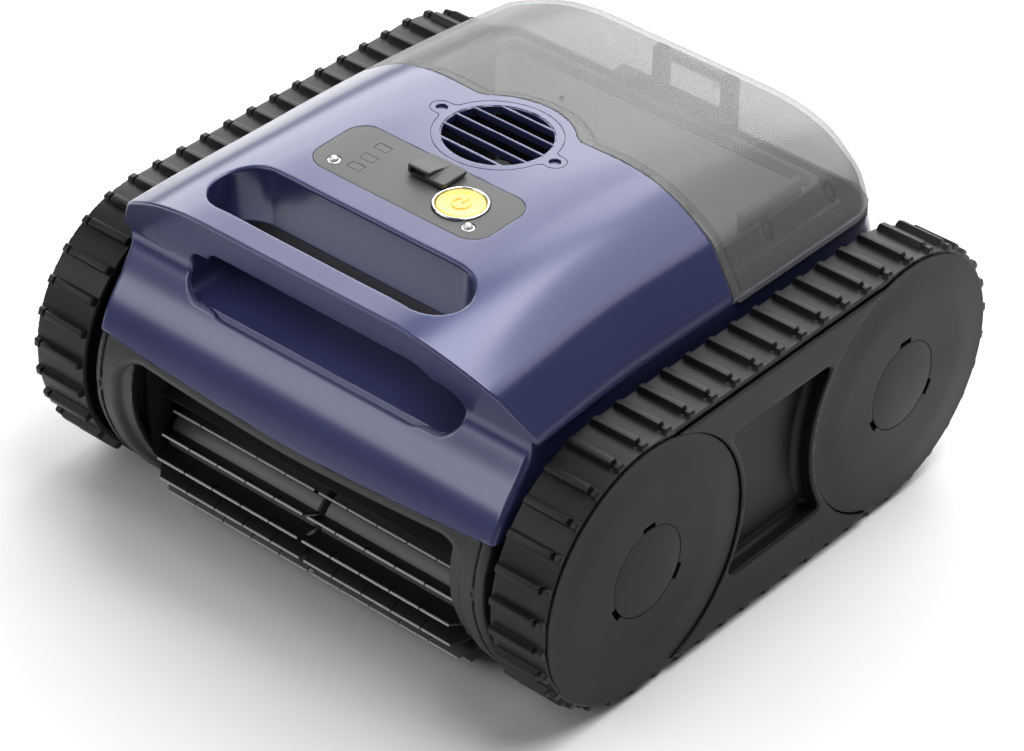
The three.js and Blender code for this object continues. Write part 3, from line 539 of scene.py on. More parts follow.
def smoked():
    """Smoked clear plastic: tinted see-through body under a glossy face, denser where it is seen edge on."""
    made = plastic("smoked_plastic", srgb(136, 136, 137), 0.26, bump=0.0, mottle=0.01, uneven=0.01, IOR=1.6)
    tree = made.node_tree
    shader = tree.nodes["Principled BSDF"]
    out = tree.nodes["Material Output"]
    clear = node(tree, "ShaderNodeBsdfTransparent", 0, -320, Color=(0.86, 0.86, 0.862, 1))
    mix = node(tree, "ShaderNodeMixShader", 320, 0)
    rim = node(tree, "ShaderNodeLayerWeight", -350, 420, Blend=0.3)
    haze = node(tree, "ShaderNodeMapRange", -100, 420)
    haze.inputs["To Min"].default_value = 0.18
    haze.inputs["To Max"].default_value = 0.65
    tree.links.new(rim.outputs["Facing"], haze.inputs["Value"])
    tree.links.new(haze.outputs["Result"], mix.inputs[0])
    tree.links.new(clear.outputs[0], mix.inputs[1])
    tree.links.new(shader.outputs[0], mix.inputs[2])
    tree.links.new(mix.outputs[0], out.inputs["Surface"])
    return made


SMOKE = smoked()

# ---------------------------------------------------------------- body
# height of the top over x, and y of the front and of the rear over height
shoulder = curve([
    (-40, 246.5), (0, 246.5), (40, 246.5), (70, 246.2), (92, 242.5), (114, 233.5), (130, 223.5),
    (139, 215.3), (145, 205.2), (152, 193.8), (FLARE_X, BASE_Z),
])
front_line = curve([
    (14, -168), (22, -174), (41, -188), (62, -198), (79, -203), (92, -204), (110, -202.3), (127, -196.6),
    (143, -188.8), (158, -178), (170, -170.3), (178, -166.3), (187, -168.2), (200, -174.5), (222, -185.1),
    (262, -204.3),
])
rear_line = curve([
    (14, 152), (35, 162), (60, 171), (85, 176), (105, 177), (127, 175), (150, 169), (168, 163), (184, 159),
    (195, 157), (204, 156.8), (212, 160.6), (220, 166.5), (262, 194.5),
])


def crown(y):
    return TOP_Z - CROWN_BEND * (y - CROWN_Y) ** 2


def hull(x, y, z):
    """Outer surface of the body."""
    ax = np.abs(x)
    widen = 1 + FRONT_WIDEN * smoothstep(WIDEN_FROM, FRONT_Y, y)
    rise = (crown(y) - BASE_Z) / (TOP_Z - BASE_Z)
    height, slope = shoulder(ax / widen)
    top = (z - BASE_Z - (height - BASE_Z) * rise) / np.sqrt(1 + (slope * rise / widen) ** 2)
    ahead, lean = front_line(z)
    ahead = (ahead - y) / np.sqrt(1 + lean ** 2)
    behind, lean = rear_line(z)
    corner = REAR_CORNER + (RIDGE_CORNER - REAR_CORNER) * smoothstep(*RIDGE_Z, z)
    qx, qy = ax - FLARE_X * widen + corner, (y - behind) / np.sqrt(1 + lean ** 2) + corner
    sides = np.hypot(np.maximum(qx, 0), np.maximum(qy, 0)) + np.minimum(np.maximum(qx, qy), 0) - corner
    under = np.minimum(ax - SIDE_X, BASE_Z - z)
    body = both(both(top, sides, SHOULDER_R), ahead, BROW_R)
    return both(body, under, 1 + 3 * smoothstep(182, 170, z))


def skin(x, y, z):
    """Shell just inside the outer surface, and the field of that surface."""
    body = hull(x, y, z)
    return np.maximum(body, -(body + WALL)), body


def split(x, y):
    """Height of the joint between shell and bumper, which dips at the middle of the front."""
    dip = SPLIT_DIP * (1 - (np.minimum(np.abs(x), SIDE_X) / SIDE_X) ** 1.5)
    return SPLIT_Z - dip * smoothstep(-120, -150, y)


# y of the lid's front edge over x
seam_line = curve([(0, 10), (36.5, 10), (115, 12.5), (200, 6)])


def seam(x, y):
    """Plan distance from the lid's front edge, negative on the lid."""
    line, slope = seam_line(np.abs(x))
    return both((line - y) / np.sqrt(1 + slope ** 2), BOSS_R - np.hypot(x, y - OUTLET_Y), 5)


def slot_plan(x, y):
    return rect(x - SLOT[0], y - SLOT[1], SLOT_HALF, SLOT_R, SLOT_R)


def panel_plan(x, y):
    return rect(x, y - PANEL_Y, *PANEL_HALF, PANEL_CORNER)


def grille_plan(x, y):
    """Round plate with an ear at each side."""
    ears = disc(np.abs(x), y, EAR_X, OUTLET_Y, 7)
    return either(disc(x, y, 0, OUTLET_Y, OUTLET_R + 3), ears, 5)


def main_shell(x, y, z):
    """Blue upper shell, with its handle, the pocket below it, and the openings for the parts it carries."""
    solid, body = skin(x, y, z)
    behind_bar = np.maximum(y - SLOT[1] + SLOT_R - 1, POCKET_Z[1] - z)
    bar = np.maximum(np.maximum(body, np.abs(x) - BAR_HALF), behind_bar)
    well = np.maximum(np.maximum(body, slot_plan(x, y) - 3), WELL_Z - z)
    solid = np.minimum(np.minimum(solid, bar), well)
    solid = cut(solid, slot_plan(x, y), 2.2)
    middle = (POCKET_Z[0] + POCKET_Z[1]) / 2
    opening = rect(x, z - middle, POCKET_HALF, (POCKET_Z[1] - POCKET_Z[0]) / 2, POCKET_CORNER)
    solid = cut(solid, np.maximum(opening, y - POCKET_BACK), 2.5)
    solid = cut(solid, np.maximum(seam(x, y), LID_Z - GAP - z), 0.5)
    solid = cut(solid, np.maximum(panel_plan(x, y) - GAP, -(body + PANEL_T + GAP)), 0.2)
    solid = cut(solid, np.maximum(grille_plan(x, y) - GAP, -(body + PANEL_T + GAP)), 0.2)
    holes = np.minimum(disc(x, y, 0, OUTLET_Y, OUTLET_R), disc(x, y, *BUTTON, BUTTON_R + GAP))
    holes = np.minimum(holes, disc(x, y, *SOCKET, SOCKET_R + GAP))
    holes = np.minimum(holes, rect(x + 38, y + 87.5, 9, 16.5, 1))  # under the indicator windows
    solid = cut(solid, np.maximum(holes, 200 - z))
    return np.maximum(solid, split(x, y) - z)


def hinge_block(x, y, z):
    """Posts that carry the lid's pin, on a housing that reaches forward under the lid."""
    posts = either(rect(y - HINGE[0], z - 188, KNUCKLE_R, 18, 2), disc(y, z, *HINGE, KNUCKLE_R))
    posts = both(posts, np.abs(np.abs(x) - POST_X) - 4, 0.8)
    base = block((x, y, z), (-31, 153, 160), (31, 173, 170), 1.5)
    housing = block((x, y, z), (-46, 139, 150), (46, 154, 197), 1.5)
    housing = cut(housing, block((x, y, z), (-30, 135, 188), (30, 149, 200), 1), 0.5)
    return cut(np.minimum(either(posts, base, 2), housing), disc(y, z, *HINGE, 2.65), 0.2)


def lid_lip(x, y, z):
    """Thin dark lip that fills the joint between the lid and the shell."""
    edge = seam(x, y) + GAP
    lip = both(slab(edge, -0.9, 0.35), slab(hull(x, y, z), -3, -0.15), 0.2)
    return np.maximum(lip, LID_Z + 0.5 - z)


def filter_lid(x, y, z):
    """Clear lid with a rib and four pairs of bosses inside, notched for the hinge posts, and its knuckle."""
    solid, body = skin(x, y, z)
    edge = seam(x, y) + GAP
    posts = block((np.abs(x), y, z), (22, 160, 150), (32, 188, 212))
    ribs = np.maximum(np.abs(edge + 10) - 0.8, np.maximum(body, -(body + 7)))
    bosses = []
    for bx, by in ((83, 19), (115, 15), (140, 60), (140, 120)):
        ring = np.abs(disc(np.abs(x), y, bx, by, 3.2)) - 1.1
        bosses.append(np.maximum(ring, np.maximum(body, -(body + 9))))
    solid = np.minimum(solid, np.minimum(ribs, np.minimum.reduce(bosses)))
    solid = both(both(solid, edge, 0.5), LID_Z - z, 0.8)
    solid = cut(solid, posts, 0.5)
    solid = cut(solid, disc(x, y, -3.7, 43.6, 1.1))
    knuckle = both(disc(y, z, *HINGE, KNUCKLE_R), np.abs(x) - KNUCKLE_X, 1)
    web = block((x, y, z), (-KNUCKLE_X, 156, HINGE[1] - 2.5), (KNUCKLE_X, HINGE[0], HINGE[1] + 2.5), 1)
    return cut(np.minimum(solid, either(knuckle, web, 2)), disc(y, z, *HINGE, 2.8))


def front_bumper(x, y, z):
    """Bumper with rounded upright edges, a rolled lip round the mouth, and a groove near each side."""
    body = both(hull(x, y, z), np.abs(x) - SIDE_X + 0.5, 6)
    drop = split(x, y) - z
    mouth = both(np.abs(x) - MOUTH_X, 8 - drop, 18)
    outer = both(body, -mouth, 6)
    inner = both(body + WALL, WALL - mouth, 3.5)
    line = np.maximum(np.abs(np.abs(x) - 147.5) - 1.0, -(body + 1.2))
    solid = cut(np.maximum(np.maximum(outer, -inner), -(body + 22)), line, 0.6)
    cheeks = both(slab(body, -7.5, -4), slab(np.abs(x), 126, 142), 1)
    solid = either(solid, cheeks, 1.5)
    return both(both(solid, y + 140, 0.8), GAP - drop, 0.5)


def rear_panel(x, y, z):
    """Lower rear cover, with the outline of a hatch scored in it."""
    solid, body = skin(x, y, z)
    groove = np.maximum(np.abs(rect(x, z - 72, 112, 34, 10)) - 1.3, -(body + 1.3))
    solid = cut(solid, groove, 0.6)
    return both(both(solid, 150.3 - y, 0.8), z - SPLIT_Z + GAP, 0.8)


def control_panel(x, y, z):
    """Thin plate let into the shell, with holes for the controls."""
    body = hull(x, y, z)
    solid = both(np.maximum(panel_plan(x, y), -(body + PANEL_T)), body + 0.05, 0.35)
    holes = disc(x, y, *BUTTON, RING_R + GAP)
    holes = np.minimum(holes, disc(x, y, *SOCKET, SOCKET_R + 2 * GAP))
    holes = np.minimum(holes, disc(np.abs(x), y, *PIN, PIN_R + GAP))
    for wx, wy in LED_WINDOWS:
        holes = np.minimum(holes, rect(x - wx, y - wy, *LED_HALF, 0.8))
    return cut(solid, holes, 0.2)


def light_guide(x, y, z):
    """Three small windows in the control panel, on one bar below it."""
    body = hull(x, y, z)
    half_x, half_y = (half - 0.25 for half in LED_HALF)
    windows = [rect(x - wx, y - wy, half_x, half_y, 0.6) for wx, wy in LED_WINDOWS]
    inserts = both(np.minimum.reduce(windows), slab(body, -4, -0.05), 0.2)
    return np.minimum(inserts, block((x, y, z), (-46, -103, 241.5), (-30, -72, 243.6), 0.6))


def outlet_grille(x, y, z):
    """Plate with an ear at each side, an inner ring, and five slats across it."""
    body = hull(x, y, z)
    radius = np.hypot(x, y - OUTLET_Y)
    frame_ring = both(grille_plan(x, y), slab(body, -PANEL_T, -0.03), 0.25)
    frame_ring = both(frame_ring, 34 - radius, 0.4)
    pitch = y - OUTLET_Y - 1.5
    nearest = np.clip(np.round(pitch / SLAT_PITCH), -2, 2)
    slats = both(np.abs(pitch - nearest * SLAT_PITCH) - 0.9, slab(body, -5, -0.3), 0.4)
    slats = np.maximum(slats, radius - 35)
    ring = np.maximum(slab(radius, 33.2, 35.4), slab(body, -5, -0.6))
    return cut(np.minimum(np.minimum(frame_ring, slats), ring), disc(np.abs(x), y, EAR_X, OUTLET_Y, 3.6), 0.3)


def side_panel(x, y, z):
    """Cover between the wheel discs, sunk to a tub in its middle and held by two posts."""
    face = OUTER_X - COVER_T
    ay = np.abs(y)
    discs = disc(ay, z, WHEEL_Y, AXLE_Z, 0)
    plate = np.maximum(rect(y, z - AXLE_Z, WHEEL_Y - 22, 81.6, 1), COVER_R + 0.8 - discs)
    plate = both(plate, slab(x, face, OUTER_X), 0.7)
    hollow = both(rect(y, z - 92.5, 60, 52.5, 7), COVER_R + 5 - discs, 7)
    pit = both(hollow, OUTER_X - PIT_DEPTH - x, 5)
    tub = both(hollow - COVER_T, slab(x, OUTER_X - PIT_DEPTH - COVER_T, OUTER_X - 0.2), 4)
    posts = np.minimum(disc(y, z, 0, 60, 7), disc(y, z, 0, 120, 7))
    posts = np.maximum(posts, slab(x, SIDE_X + GAP, OUTER_X - 13))
    return np.minimum(cut(either(plate, tub, 1), pit, 2.2), posts)


def wheel_cover(x, y, z):
    """Disc about the origin of (y, z), dished towards its rim, with three slots round its hole."""
    radius = np.hypot(y, z)
    crest = OUTER_X - 1.3 * smoothstep(56, COVER_R, radius)
    plate = both(radius - COVER_R, slab(x, OUTER_X - COVER_T, crest), 0.5)
    top, third = math.pi / 2, 2 * math.pi / 3
    nearest = np.round((np.arctan2(z, y) - top) / third) * third + top
    along = np.cos(nearest) * y + np.sin(nearest) * z - HUB_CAP_R - 1.6
    across = np.cos(nearest) * z - np.sin(nearest) * y
    return cut(plate, np.minimum(radius - HUB_CAP_R - GAP, rect(along, across, 2.0, 5.2, 0.6)), 0.25)


def charge_port_cover(x, y, z):
    """Flap with a cut corner and a raised, undercut finger wedge."""
    plan = rect(x - 3.5, y + 74.5, 14, 10.8, 2.5)
    plan = both(plan, -(x + 14 + (y + 66) * -0.45) * 0.8, 2)
    plate = both(plan, slab(z, 247.4, 250.2), 0.8)
    ridge = 250.4 + 3.0 * smoothstep(-66, -84, y)
    wedge = both(slab(x, -10.2, 6.5), slab(y, -85.2, -65), 1.5)
    wedge = both(wedge, slab(z, 248, ridge), 0.8)
    solid = either(plate, wedge, 1)
    mouth = block((x, y, z), (-7.6, -90, 248.6), (3.6, -78.5, 251.6), 0.8)
    return cut(solid, mouth, 0.4)


def filter_basket(x, y, z):
    """Open basket with barred windows in its walls, a gate in its floor, and a cheek at each side."""
    v = y - BASKET_Y
    walls = both(rect(x, v, *BASKET_HALF, 10), slab(z, 68, 194), 2)
    inside = both(rect(x, v, 121.5, 53.5, 8), 70.5 - z, 3)
    solid = cut(walls, inside, 0.8)
    rim = both(np.abs(rect(x, v, *BASKET_HALF, 10) + 1.5) - 2.4, slab(z, 188, 193.8), 1)
    front = np.abs((np.abs(x) - WINDOW_PITCH / 2) % WINDOW_PITCH - WINDOW_PITCH / 2)
    side = np.abs(np.abs(v) - 25)
    on_side = np.abs(x) - 121
    windows = rect(np.where(on_side > 0, side, front), z - WINDOW_Z, *WINDOW_HALF, 5)
    rails = np.abs((z - 84) % 15.3 - 7.65) - 6.6
    ribs = np.abs((x - 4.75) % 9.5 - 4.75) - 4.1
    solid = cut(solid, np.maximum(windows, np.maximum(rails, np.where(on_side > 0, -9, ribs))), 0.3)
    gate = rect(x, y - 45, 44, 11, 2)
    cheeks = block((np.abs(x), y, z), (118, 60, 150), (123.4, 116, 205), 1.2)
    cheeks = cut(cheeks, rect(y - 88, z - 184, 8, 1.6, 1.5), 0.3)
    return cut(np.minimum(np.minimum(solid, rim), cheeks), np.maximum(gate, z - 80))


def filter_lining(x, y, z):
    """Fine mesh sleeve inside the basket, open above and over the inlet."""
    v = y - BASKET_Y
    sleeve = both(rect(x, v, 121, 53, 8), slab(z, 71, 186), 2)
    sleeve = cut(sleeve, both(rect(x, v, 119.6, 51.6, 7), 72.4 - z, 3), 0.3)
    return cut(sleeve, rect(x, y - 45, 48, 15, 2))


def pocket_floor(x, y, z):
    """Floor and ends behind the pocket, coved up to the front skin."""
    front, back = TRAY_Y
    low, high = TRAY_Z
    floor = block((x, y, z), (-TRAY_HALF, front, low), (TRAY_HALF, back, 162.2))
    ends = block((np.abs(x), y, z), (107.5, front, low), (TRAY_HALF, back, high))
    return np.maximum(either(floor, ends, 10), hull(x, y, z) + WALL - 0.4)


def tray_wall(x, y, z):
    """Dark wall at the back of the pocket."""
    return block((x, y, z), (-TRAY_HALF, -127, TRAY_Z[0]), (TRAY_HALF, -124, TRAY_Z[1]), 0.8)


def build_body():
    dress(sculpt("pocket_floor", pocket_floor, (-114, -178, 155), (114, -126, 203), 1.2, 0.5),
          NAVY, "navy_shell", "body", "handle_tray")
    dress(sculpt("tray_wall", tray_wall, (-114, -129, 155), (114, -122, 203), 1.5, 0.5),
          DARK, "dark_body", "body", "handle_tray")
    dress(sculpt("upper_shell", main_shell, (-166, -206, 118), (166, 177, 248), 1.25, 0.3),
          NAVY, "navy_shell", "body", "main_shell")
    dress(sculpt("hinge_block", hinge_block, (-48, 137, 148), (48, 175, 213), 1.0, 0.5),
          DARK, "dark_body", "body", "main_shell")
    dress(sculpt("lid_lip", lid_lip, (-158, 4, 183), (158, 32, 246), 0.9, 0.4),
          SEAL, "seal_rubber", "filter_lid")
    dress(sculpt("clear_lid", filter_lid, (-160, 4, 183), (160, 176, 246), 1.25, 0.5),
          SMOKE, "smoked_lid", "filter_lid", "filter_lid")
    dress(sculpt("bumper", front_bumper, (-158, -206, 13), (158, -139, 128), 1.25, 0.6),
          DARK, "dark_body", "body", "front_bumper")
    dress(sculpt("rear_cover", rear_panel, (-158, 149, 13), (158, 180, 128), 1.5, 0.5),
          DARK, "dark_body", "body", "rear_panel")
    dress(sculpt("panel", control_panel, (-68, -114, 236), (68, -60, 248), 0.6, 0.5),
          PANEL, "panel_grey", "body", "control_panel")
    dress(sculpt("indicator_windows", light_guide, (-47, -104, 241), (-29, -71, 247), 0.5, 0.6),
          WINDOW, "window_grey", "body", "light_guide")
    dress(sculpt("grille", outlet_grille, (-52, -58, 238), (52, 22, 247), 0.7, 0.6),
          NAVY, "navy_shell", "body", "outlet_grille")
    dress(sculpt("socket_flap", charge_port_cover, (-12, -87, 247), (19, -62, 254), 0.45, 0.7),
          FLAP, "flap_rubber", "charge_port_cover", "charge_port_cover")


# ---------------------------------------------------------------- controls
def build_controls():
    z = float(crown(BUTTON[1]))
    at = (*BUTTON, 0)
    ring = arc_profile(15.95, z + 0.1, 0.95, -30, 210, 10)
    ring = [(RING_R, z - 1.2), *ring, (BUTTON_R + GAP, z - 1.2)]
    dress(lathe("button_ring", ring, at, "Z"), CHROME, "bright_metal", "body", "power_ring")
    dome = [(0, 237), (BUTTON_R, 237), *arc_profile(BUTTON_R - 1.2, z - 0.6, 1.2, 0, 90, 5),
            (11.6, z + 0.55), (11.2, z + 0.35), (9.5, z + 0.15), (4, z + 0.05), (0, z + 0.02)]
    dress(lathe("button", dome, at, "Z"), YELLOW, "button_yellow", "power_button", "power_button")
    symbol = power_symbol(z + 0.12)
    dress(symbol, ORANGE, "button_yellow", "power_button")
    for label, side in SIDES:
        base = float(crown(PIN[1]))
        pin = [(0, 245), (PIN_R, 245), *arc_profile(3.5, base - 0.6, 0.5, 0, 90, 5), (3.1, base - 0.5),
               *arc_profile(0, base - 0.4, 2.9, 10, 85, 10), (0, base + 2.5)]
        dress(lathe(f"charge_pin_{label}", pin, (side * PIN[0], PIN[1], 0), "Z", 96),
              PIN_METAL, "bright_metal", "body", f"contact_pin_{label}")


def power_symbol(z):
    """Raised broken ring with a bar in its gap."""
    points, faces = [], []

    def bar(path, half, low, high):
        start = len(points)
        for i, (u, v) in enumerate(path):
            a, b = path[max(0, i - 1)], path[min(len(path) - 1, i + 1)]
            along = np.array([b[0] - a[0], b[1] - a[1]])
            across = np.array([-along[1], along[0]]) / np.linalg.norm(along)
            for s, height in ((-half, low), (-half * 0.7, high), (half * 0.7, high), (half, low)):
                points.append((u + across[0] * s, v + across[1] * s, height))
        count = len(path)
        for i in range(count - 1):
            for j in range(4):
                a, b = start + 4 * i + j, start + 4 * i + (j + 1) % 4
                faces.append((a, b, b + 4, a + 4))
        faces.append((start, start + 1, start + 2, start + 3)[::-1])
        end = start + 4 * (count - 1)
        faces.append((end, end + 1, end + 2, end + 3))

    u, v = BUTTON
    radius, half, low, high = 5.2, 0.9, z - 0.5, z + 0.5
    angles = [math.radians(a) for a in range(125, 416, 10)]
    bar([(u + radius * math.cos(a), v + radius * math.sin(a)) for a in angles], half, low, high)
    bar([(u, v + 1.5), (u, v + 6.8)], half, low, high)
    piece = piece_from("button_symbol", points, faces)
    outward(piece)
    return piece


# ---------------------------------------------------------------- running gear
def track_point(s, radius):
    """Point on the track loop, s millimetres along the belt from the middle of its bottom run."""
    straight, arc = 2 * WHEEL_Y, math.pi * BELT_R
    total = 2 * (straight + arc)
    s = s % total
    if s < straight / 2:
        return s, AXLE_Z - radius
    if s < straight / 2 + arc:
        angle = (s - straight / 2) / BELT_R - math.pi / 2
        return WHEEL_Y + radius * math.cos(angle), AXLE_Z + radius * math.sin(angle)
    if s < 1.5 * straight + arc:
        return WHEEL_Y - (s - straight / 2 - arc), AXLE_Z + radius
    if s < 1.5 * straight + 2 * arc:
        angle = (s - 1.5 * straight - arc) / BELT_R + math.pi / 2
        return -WHEEL_Y + radius * math.cos(angle), AXLE_Z + radius * math.sin(angle)
    return s - total, AXLE_Z - radius


def track_belt(name, side):
    """Belt lofted along X.

    Each level is an x, the share of the lugs' height there, and how far the belt's face is moved outwards.
    """
    lug = LUG_R - BELT_R
    across = [(-LUG_FOOT, 0), (-2.75, 0.12), (-2.45, 0.8), (-2.1, 0.96), (-1.6, 1.0),
              (1.6, 1.0), (2.1, 0.96), (2.45, 0.8), (2.75, 0.12), (LUG_FOOT, 0)]
    levels = [(BELT_X[0], 0, -1.0), (BELT_X[0] + 0.8, 0, 0), (162.4, 0, 0), (162.6, 0.55, 0), (163.2, 0.9, 0),
              (164.2, 1, 0), (193.4, 1, 0), (194.2, 0.94, 0), (194.7, 0.7, 0), (194.9, 0.1, 0), (195.2, 0, 0),
              (196.3, 0, 0), (196.5, 0.6, 0), (196.9, 0.74, 0), (200.0, 0.74, 0), (200.7, 0.62, -0.1),
              (BELT_X[1], 0.3, -0.7)]
    pitch = (4 * WHEEL_Y + 2 * math.pi * BELT_R) / LUG_COUNT
    between = pitch - 2 * LUG_FOOT
    stations = []
    for k in range(LUG_COUNT):
        stations += [(k * pitch + s, h) for s, h in across]
        stations += [(k * pitch + LUG_FOOT + between * t / GAP_STEPS, 0) for t in range(1, GAP_STEPS)]
    points, faces = [], []
    for x, rise, edge in levels:
        for s, h in stations:
            points.append((side * x, *track_point(s, BELT_R + edge + h * rise * lug)))
    count = len(stations)
    inner = [(BELT_X[1], 0.8), (BELT_X[1] - 0.8, 0), (BELT_X[0] + 0.8, 0), (BELT_X[0], 0.8)]
    for x, edge in inner:
        for s, _ in stations:
            points.append((side * x, *track_point(s, BELT_INNER_R + edge)))
    rows = len(levels) + len(inner)
    for i in range(rows):
        for j in range(count):
            a, b = i * count, (i + 1) % rows * count
            n = (j + 1) % count
            faces.append((a + j, a + n, b + n, b + j))
    piece = piece_from(name, points, faces, 40)
    outward(piece)
    return piece


def hub_cap(name, y, side):
    inner = OUTER_X - COVER_T
    edge = arc_profile(HUB_CAP_R - 0.5, OUTER_X - 0.5, 0.5, 0, 90, 4)
    profile = [(0, inner), (HUB_CAP_R, inner), *edge, (0, OUTER_X)]
    return lathe(name, [(r, side * x) for r, x in profile], (0, y, AXLE_Z), "X", 120)


def build_tracks():
    for label, side in SIDES:
        dress(track_belt(f"track_{label}", side), TRACK, "track_rubber", "body", f"track_belt_{label}")
        low, high = sorted((side * 155, side * 205))
        panel = sculpt(f"side_cover_{label}", lambda x, y, z, s=side: side_panel(s * x, y, z),
                       (low, -99, 6), (high, 99, 175), 1.3, 0.5)
        dress(panel, COVER, "cover_plastic", "body", f"side_panel_{label}")
        low, high = sorted((side * (OUTER_X - 3), side * (OUTER_X + 0.5)))
        for end, y in (("front", -WHEEL_Y), ("rear", WHEEL_Y)):
            body = f"{end}_wheel_{label}"
            cover = sculpt(f"{end}_disc_{label}",
                           lambda x, v, z, s=side, c=y: wheel_cover(s * x, v - c, z - AXLE_Z),
                           (low, y - 86, AXLE_Z - 86), (high, y + 86, AXLE_Z + 86), 1.0, 0.3)
            dress(cover, COVER, "cover_plastic", body, f"{end}_wheel_cover_{label}")
            cap = hub_cap(f"{end}_cap_{label}", y, side)
            dress(cap, COVER, "cover_plastic", body, f"{end}_hub_cap_{label}")


# ---------------------------------------------------------------- brush
def comb(side):
    """One fin: a root strip with flexible tabs, as (x, radius) points."""
    outline = [(BRUSH_X[0], BRUSH_CORE_R - 1)]
    for k, (a, b) in enumerate(tabs()):
        if k:
            outline.append((a, SLIT_R))
        outline += [(a, TAB_R), (b, TAB_R)]
        outline.append((b, SLIT_R) if k < TAB_COUNT - 1 else (BRUSH_X[1], 31))
    outline.append((BRUSH_X[1], BRUSH_CORE_R - 1))
    return [(side * x, r) for x, r in outline]


def tabs():
    """Ends of each tab along a fin. The fin's slanted end comes after the last one."""
    start, end = BRUSH_X[0], BRUSH_X[1] - FIN_SLANT
    width = (end - start - (TAB_COUNT - 1) * SLIT) / TAB_COUNT
    return [(start + k * (width + SLIT), start + k * (width + SLIT) + width) for k in range(TAB_COUNT)]


def on_fin(x, r, side_offset, k):
    """Point on fin k, at radius r and across its thickness."""
    angle = math.radians(FIN_PHASE + k * 360 / FIN_COUNT)
    v = side_offset + FIN_LEAN * ((r - BRUSH_CORE_R) / (BRUSH_R - BRUSH_CORE_R)) ** 2
    return (x, BRUSH[0] + r * math.cos(angle) - v * math.sin(angle),
            BRUSH[1] + r * math.sin(angle) + v * math.cos(angle))


def brush_tips(name, side):
    """Pale edge along every tab, a painted highlight for the light caught on the fins' tips."""
    points, faces = [], []
    for k in range(FIN_COUNT):
        for a, b in tabs():
            start = len(points)
            for x in (side * a, side * b):
                points += [on_fin(x, r, v, k) for r, v in
                           ((BRUSH_R - 0.7, -0.7), (BRUSH_R, -0.55), (BRUSH_R, 0.55), (BRUSH_R - 0.7, 0.7))]
            faces += [[start + i for i in ring] for ring in
                      ((0, 1, 2, 3), (7, 6, 5, 4), (0, 4, 5, 1), (1, 5, 6, 2), (2, 6, 7, 3), (3, 7, 4, 0))]
    piece = piece_from(name, points, faces, 20)
    outward(piece)
    return piece


def brush_fins(name, side):
    points, faces = [], []
    outline = comb(side)
    n = len(outline)
    for k in range(FIN_COUNT):
        start = len(points)
        for half in (-FIN_HALF, FIN_HALF):
            points += [on_fin(x, r, half, k) for x, r in outline]
        faces.append(tuple(range(start, start + n)))
        faces.append(tuple(range(start + 2 * n - 1, start + n - 1, -1)))
        for i in range(n):
            j = (i + 1) % n
            faces.append((start + i, start + n + i, start + n + j, start + j))
    piece = piece_from(name, points, faces)
    shape = bmesh.new()
    shape.from_mesh(piece.data)
    bmesh.ops.triangulate(shape, faces=[f for f in shape.faces if len(f.verts) > 4])
    shape.to_mesh(piece.data)
    shape.free()
    outward(piece)
    return piece


def build_brush():
    for label, side in SIDES:
        dress(brush_fins(f"brush_blades_{label}", side), BLADE, "brush_rubber", f"brush_{label}",
              f"brush_roller_{label}")
        # pale tips: a painted highlight along every fin edge
        dress(brush_tips(f"brush_tips_{label}", side), TIP, "brush_rubber", f"brush_{label}")
        a, b = BRUSH_X
        core = [(0, 0.3), (3, 0.3), (3, a + 0.2), (BRUSH_CORE_R - 1, a + 0.2), (BRUSH_CORE_R, a + 1.2),
                (BRUSH_CORE_R, b - 1.2), (BRUSH_CORE_R - 1, b), (8, b), (8, b + 1.4), (4, b + 1.4),
                (4, 148), (0, 148)]
        piece = lathe(f"brush_core_{label}", [(r, side * x) for r, x in core], (0, *BRUSH), "X", 72)
        dress(piece, CORE, "brush_rubber", f"brush_{label}")


# ---------------------------------------------------------------- inside
def build_inside():
    dress(sculpt("basket", filter_basket, (-127, 22, 66), (127, 140, 207), 1.6, 0.5),
          BASKET, "basket_plastic", "body", "filter_basket")
    dress(sculpt("filter_mesh", filter_lining, (-123, 26, 69), (123, 136, 188), 1.4, 0.3),
          MESH, "basket_plastic", "body", "filter_basket")
    carry(INNER, "filter_chamber", "pump_housing", "brush_center_support", edge=0.6)
    carry(DARK, "chassis", edge=0.5)
    carry(SEAL, "lid_gasket", "inlet_flap", "charge_socket", edge=0.3)
    carry(INNER, "impeller", edge=0.4)
    carry(GEAR, *both_sides("drive_gear", "idler_gear", "brush_gear", "motor_pinion"), edge=0.25)
    carry(STEEL, "pump_motor", *both_sides("drive_shaft", "rear_axle", "drive_motor"), edge=0.5)
    carry(COPPER, "hinge_pin", edge=0.4)
    carry(COVER, *both_sides("front_wheel", "rear_wheel"), edge=0.6)
    carry(WRAP, "battery_pack", edge=1)
    carry(BOARD, "control_board", edge=0.2)


def both_sides(*names):
    return [f"{name}_{label}" for name in names for label, _ in SIDES]


# ---------------------------------------------------------------- stage
def build_stage():
    size = 4.0
    mesh = bpy.data.meshes.new("floor")
    corners = [(u * size, v * size, 0) for u, v in ((-1, -1), (1, -1), (1, 1), (-1, 1))]
    mesh.from_pydata(corners, [], [(0, 1, 2, 3)])
    floor = bpy.data.objects.new("floor", mesh)
    bpy.context.scene.collection.objects.link(floor)
    floor.data.materials.append(plastic("floor_paper", (0.86, 0.86, 0.865), 0.9, bump=0.0, mottle=0.004))


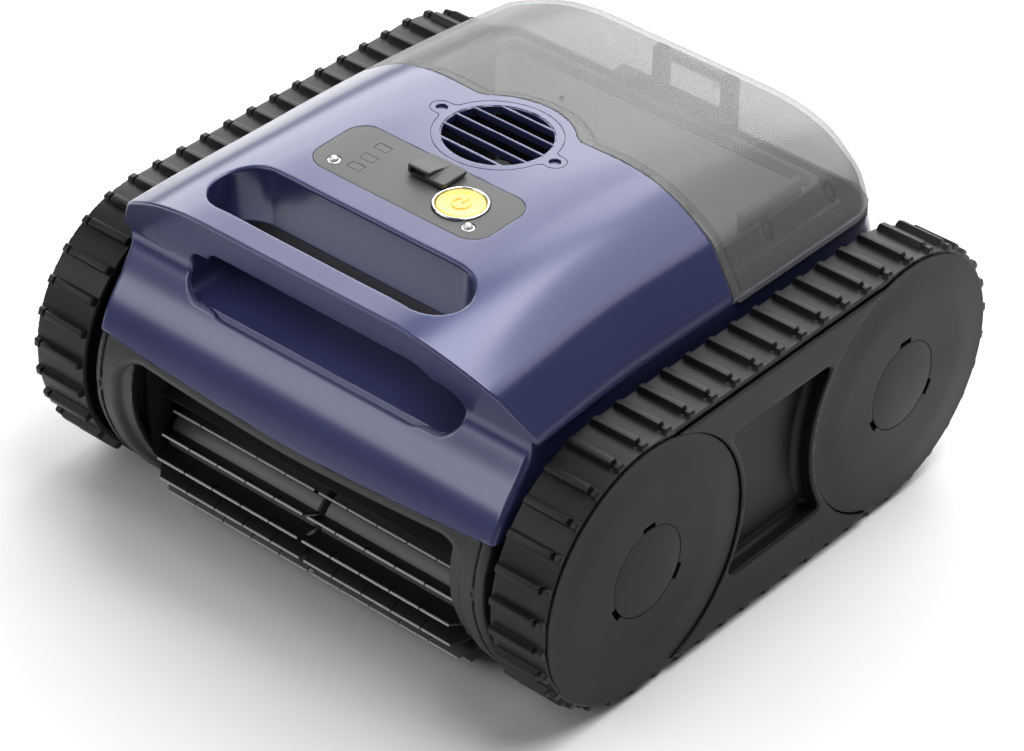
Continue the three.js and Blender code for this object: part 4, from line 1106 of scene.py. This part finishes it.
def camera(azimuth, elevation, roll, position, lens):
    """Camera turned by angles in degrees: azimuth 0 looks from -Y and 90 from +X. The lens is in mm."""
    a, e, r = (math.radians(v) for v in (azimuth, elevation, roll))
    right = Vector((math.cos(a), math.sin(a), 0))
    back = Vector((math.sin(a) * math.cos(e), -math.cos(a) * math.cos(e), math.sin(e)))
    up = back.cross(right)
    x_axis = math.cos(r) * right + math.sin(r) * up
    y_axis = -math.sin(r) * right + math.cos(r) * up
    data = bpy.data.cameras.new("camera")
    data.lens, data.sensor_width = lens, 36
    data.clip_start, data.clip_end = 0.05, 50
    made = bpy.data.objects.new("camera", data)
    bpy.context.scene.collection.objects.link(made)
    made.matrix_world = Matrix.Translation(position) @ Matrix((x_axis, y_axis, back)).transposed().to_4x4()
    bpy.context.scene.camera = made


def softbox(name, position, target, width, height, power):
    data = bpy.data.lights.new(name, "AREA")
    data.shape = "RECTANGLE"
    data.size, data.size_y = width, height
    data.energy = power
    lamp = bpy.data.objects.new(name, data)
    bpy.context.scene.collection.objects.link(lamp)
    lamp.location = position
    lamp.rotation_euler = (Vector(target) - Vector(position)).to_track_quat("-Z", "Y").to_euler()


# name, place in metres, height aimed at, width, height, power in watts
SOFTBOXES = (
    ("overhead", (0.6, 0.6, 3.0), 0.1, 2.4, 1.8, 84),
    ("back_low", (-2.0, 2.2, 1.2), 0.2, 3.6, 1.3, 47),
    ("back_high", (-1.7, 1.85, 2.5), 0.2, 3.6, 1.7, 53),
    ("back_right", (0.6, 2.4, 2.6), 0.2, 3.4, 1.7, 32),
    ("front_low", (-1.3, -1.9, 1.1), 0.15, 2.4, 0.45, 13.5),
    ("front_high", (-1.2, -1.7, 2.3), 0.15, 2.6, 1.3, 11),
)


def build_lights():
    world = bpy.data.worlds.new("studio")
    world.use_nodes = True
    background = world.node_tree.nodes["Background"]
    background.inputs["Color"].default_value = (0.95, 0.97, 1.0, 1)
    background.inputs["Strength"].default_value = 0.12
    bpy.context.scene.world = world
    for name, position, aim, width, height, power in SOFTBOXES:
        softbox(name, position, (0, 0, aim), width, height, power)
    bpy.context.scene.view_settings.view_transform = "Standard"


camera(azimuth=40.42, elevation=36.16, roll=1.107, position=(1.29717, -1.52425, 1.52460), lens=142.7)
build_stage()
build_lights()
build_body()
build_controls()
build_tracks()
build_brush()
build_inside()
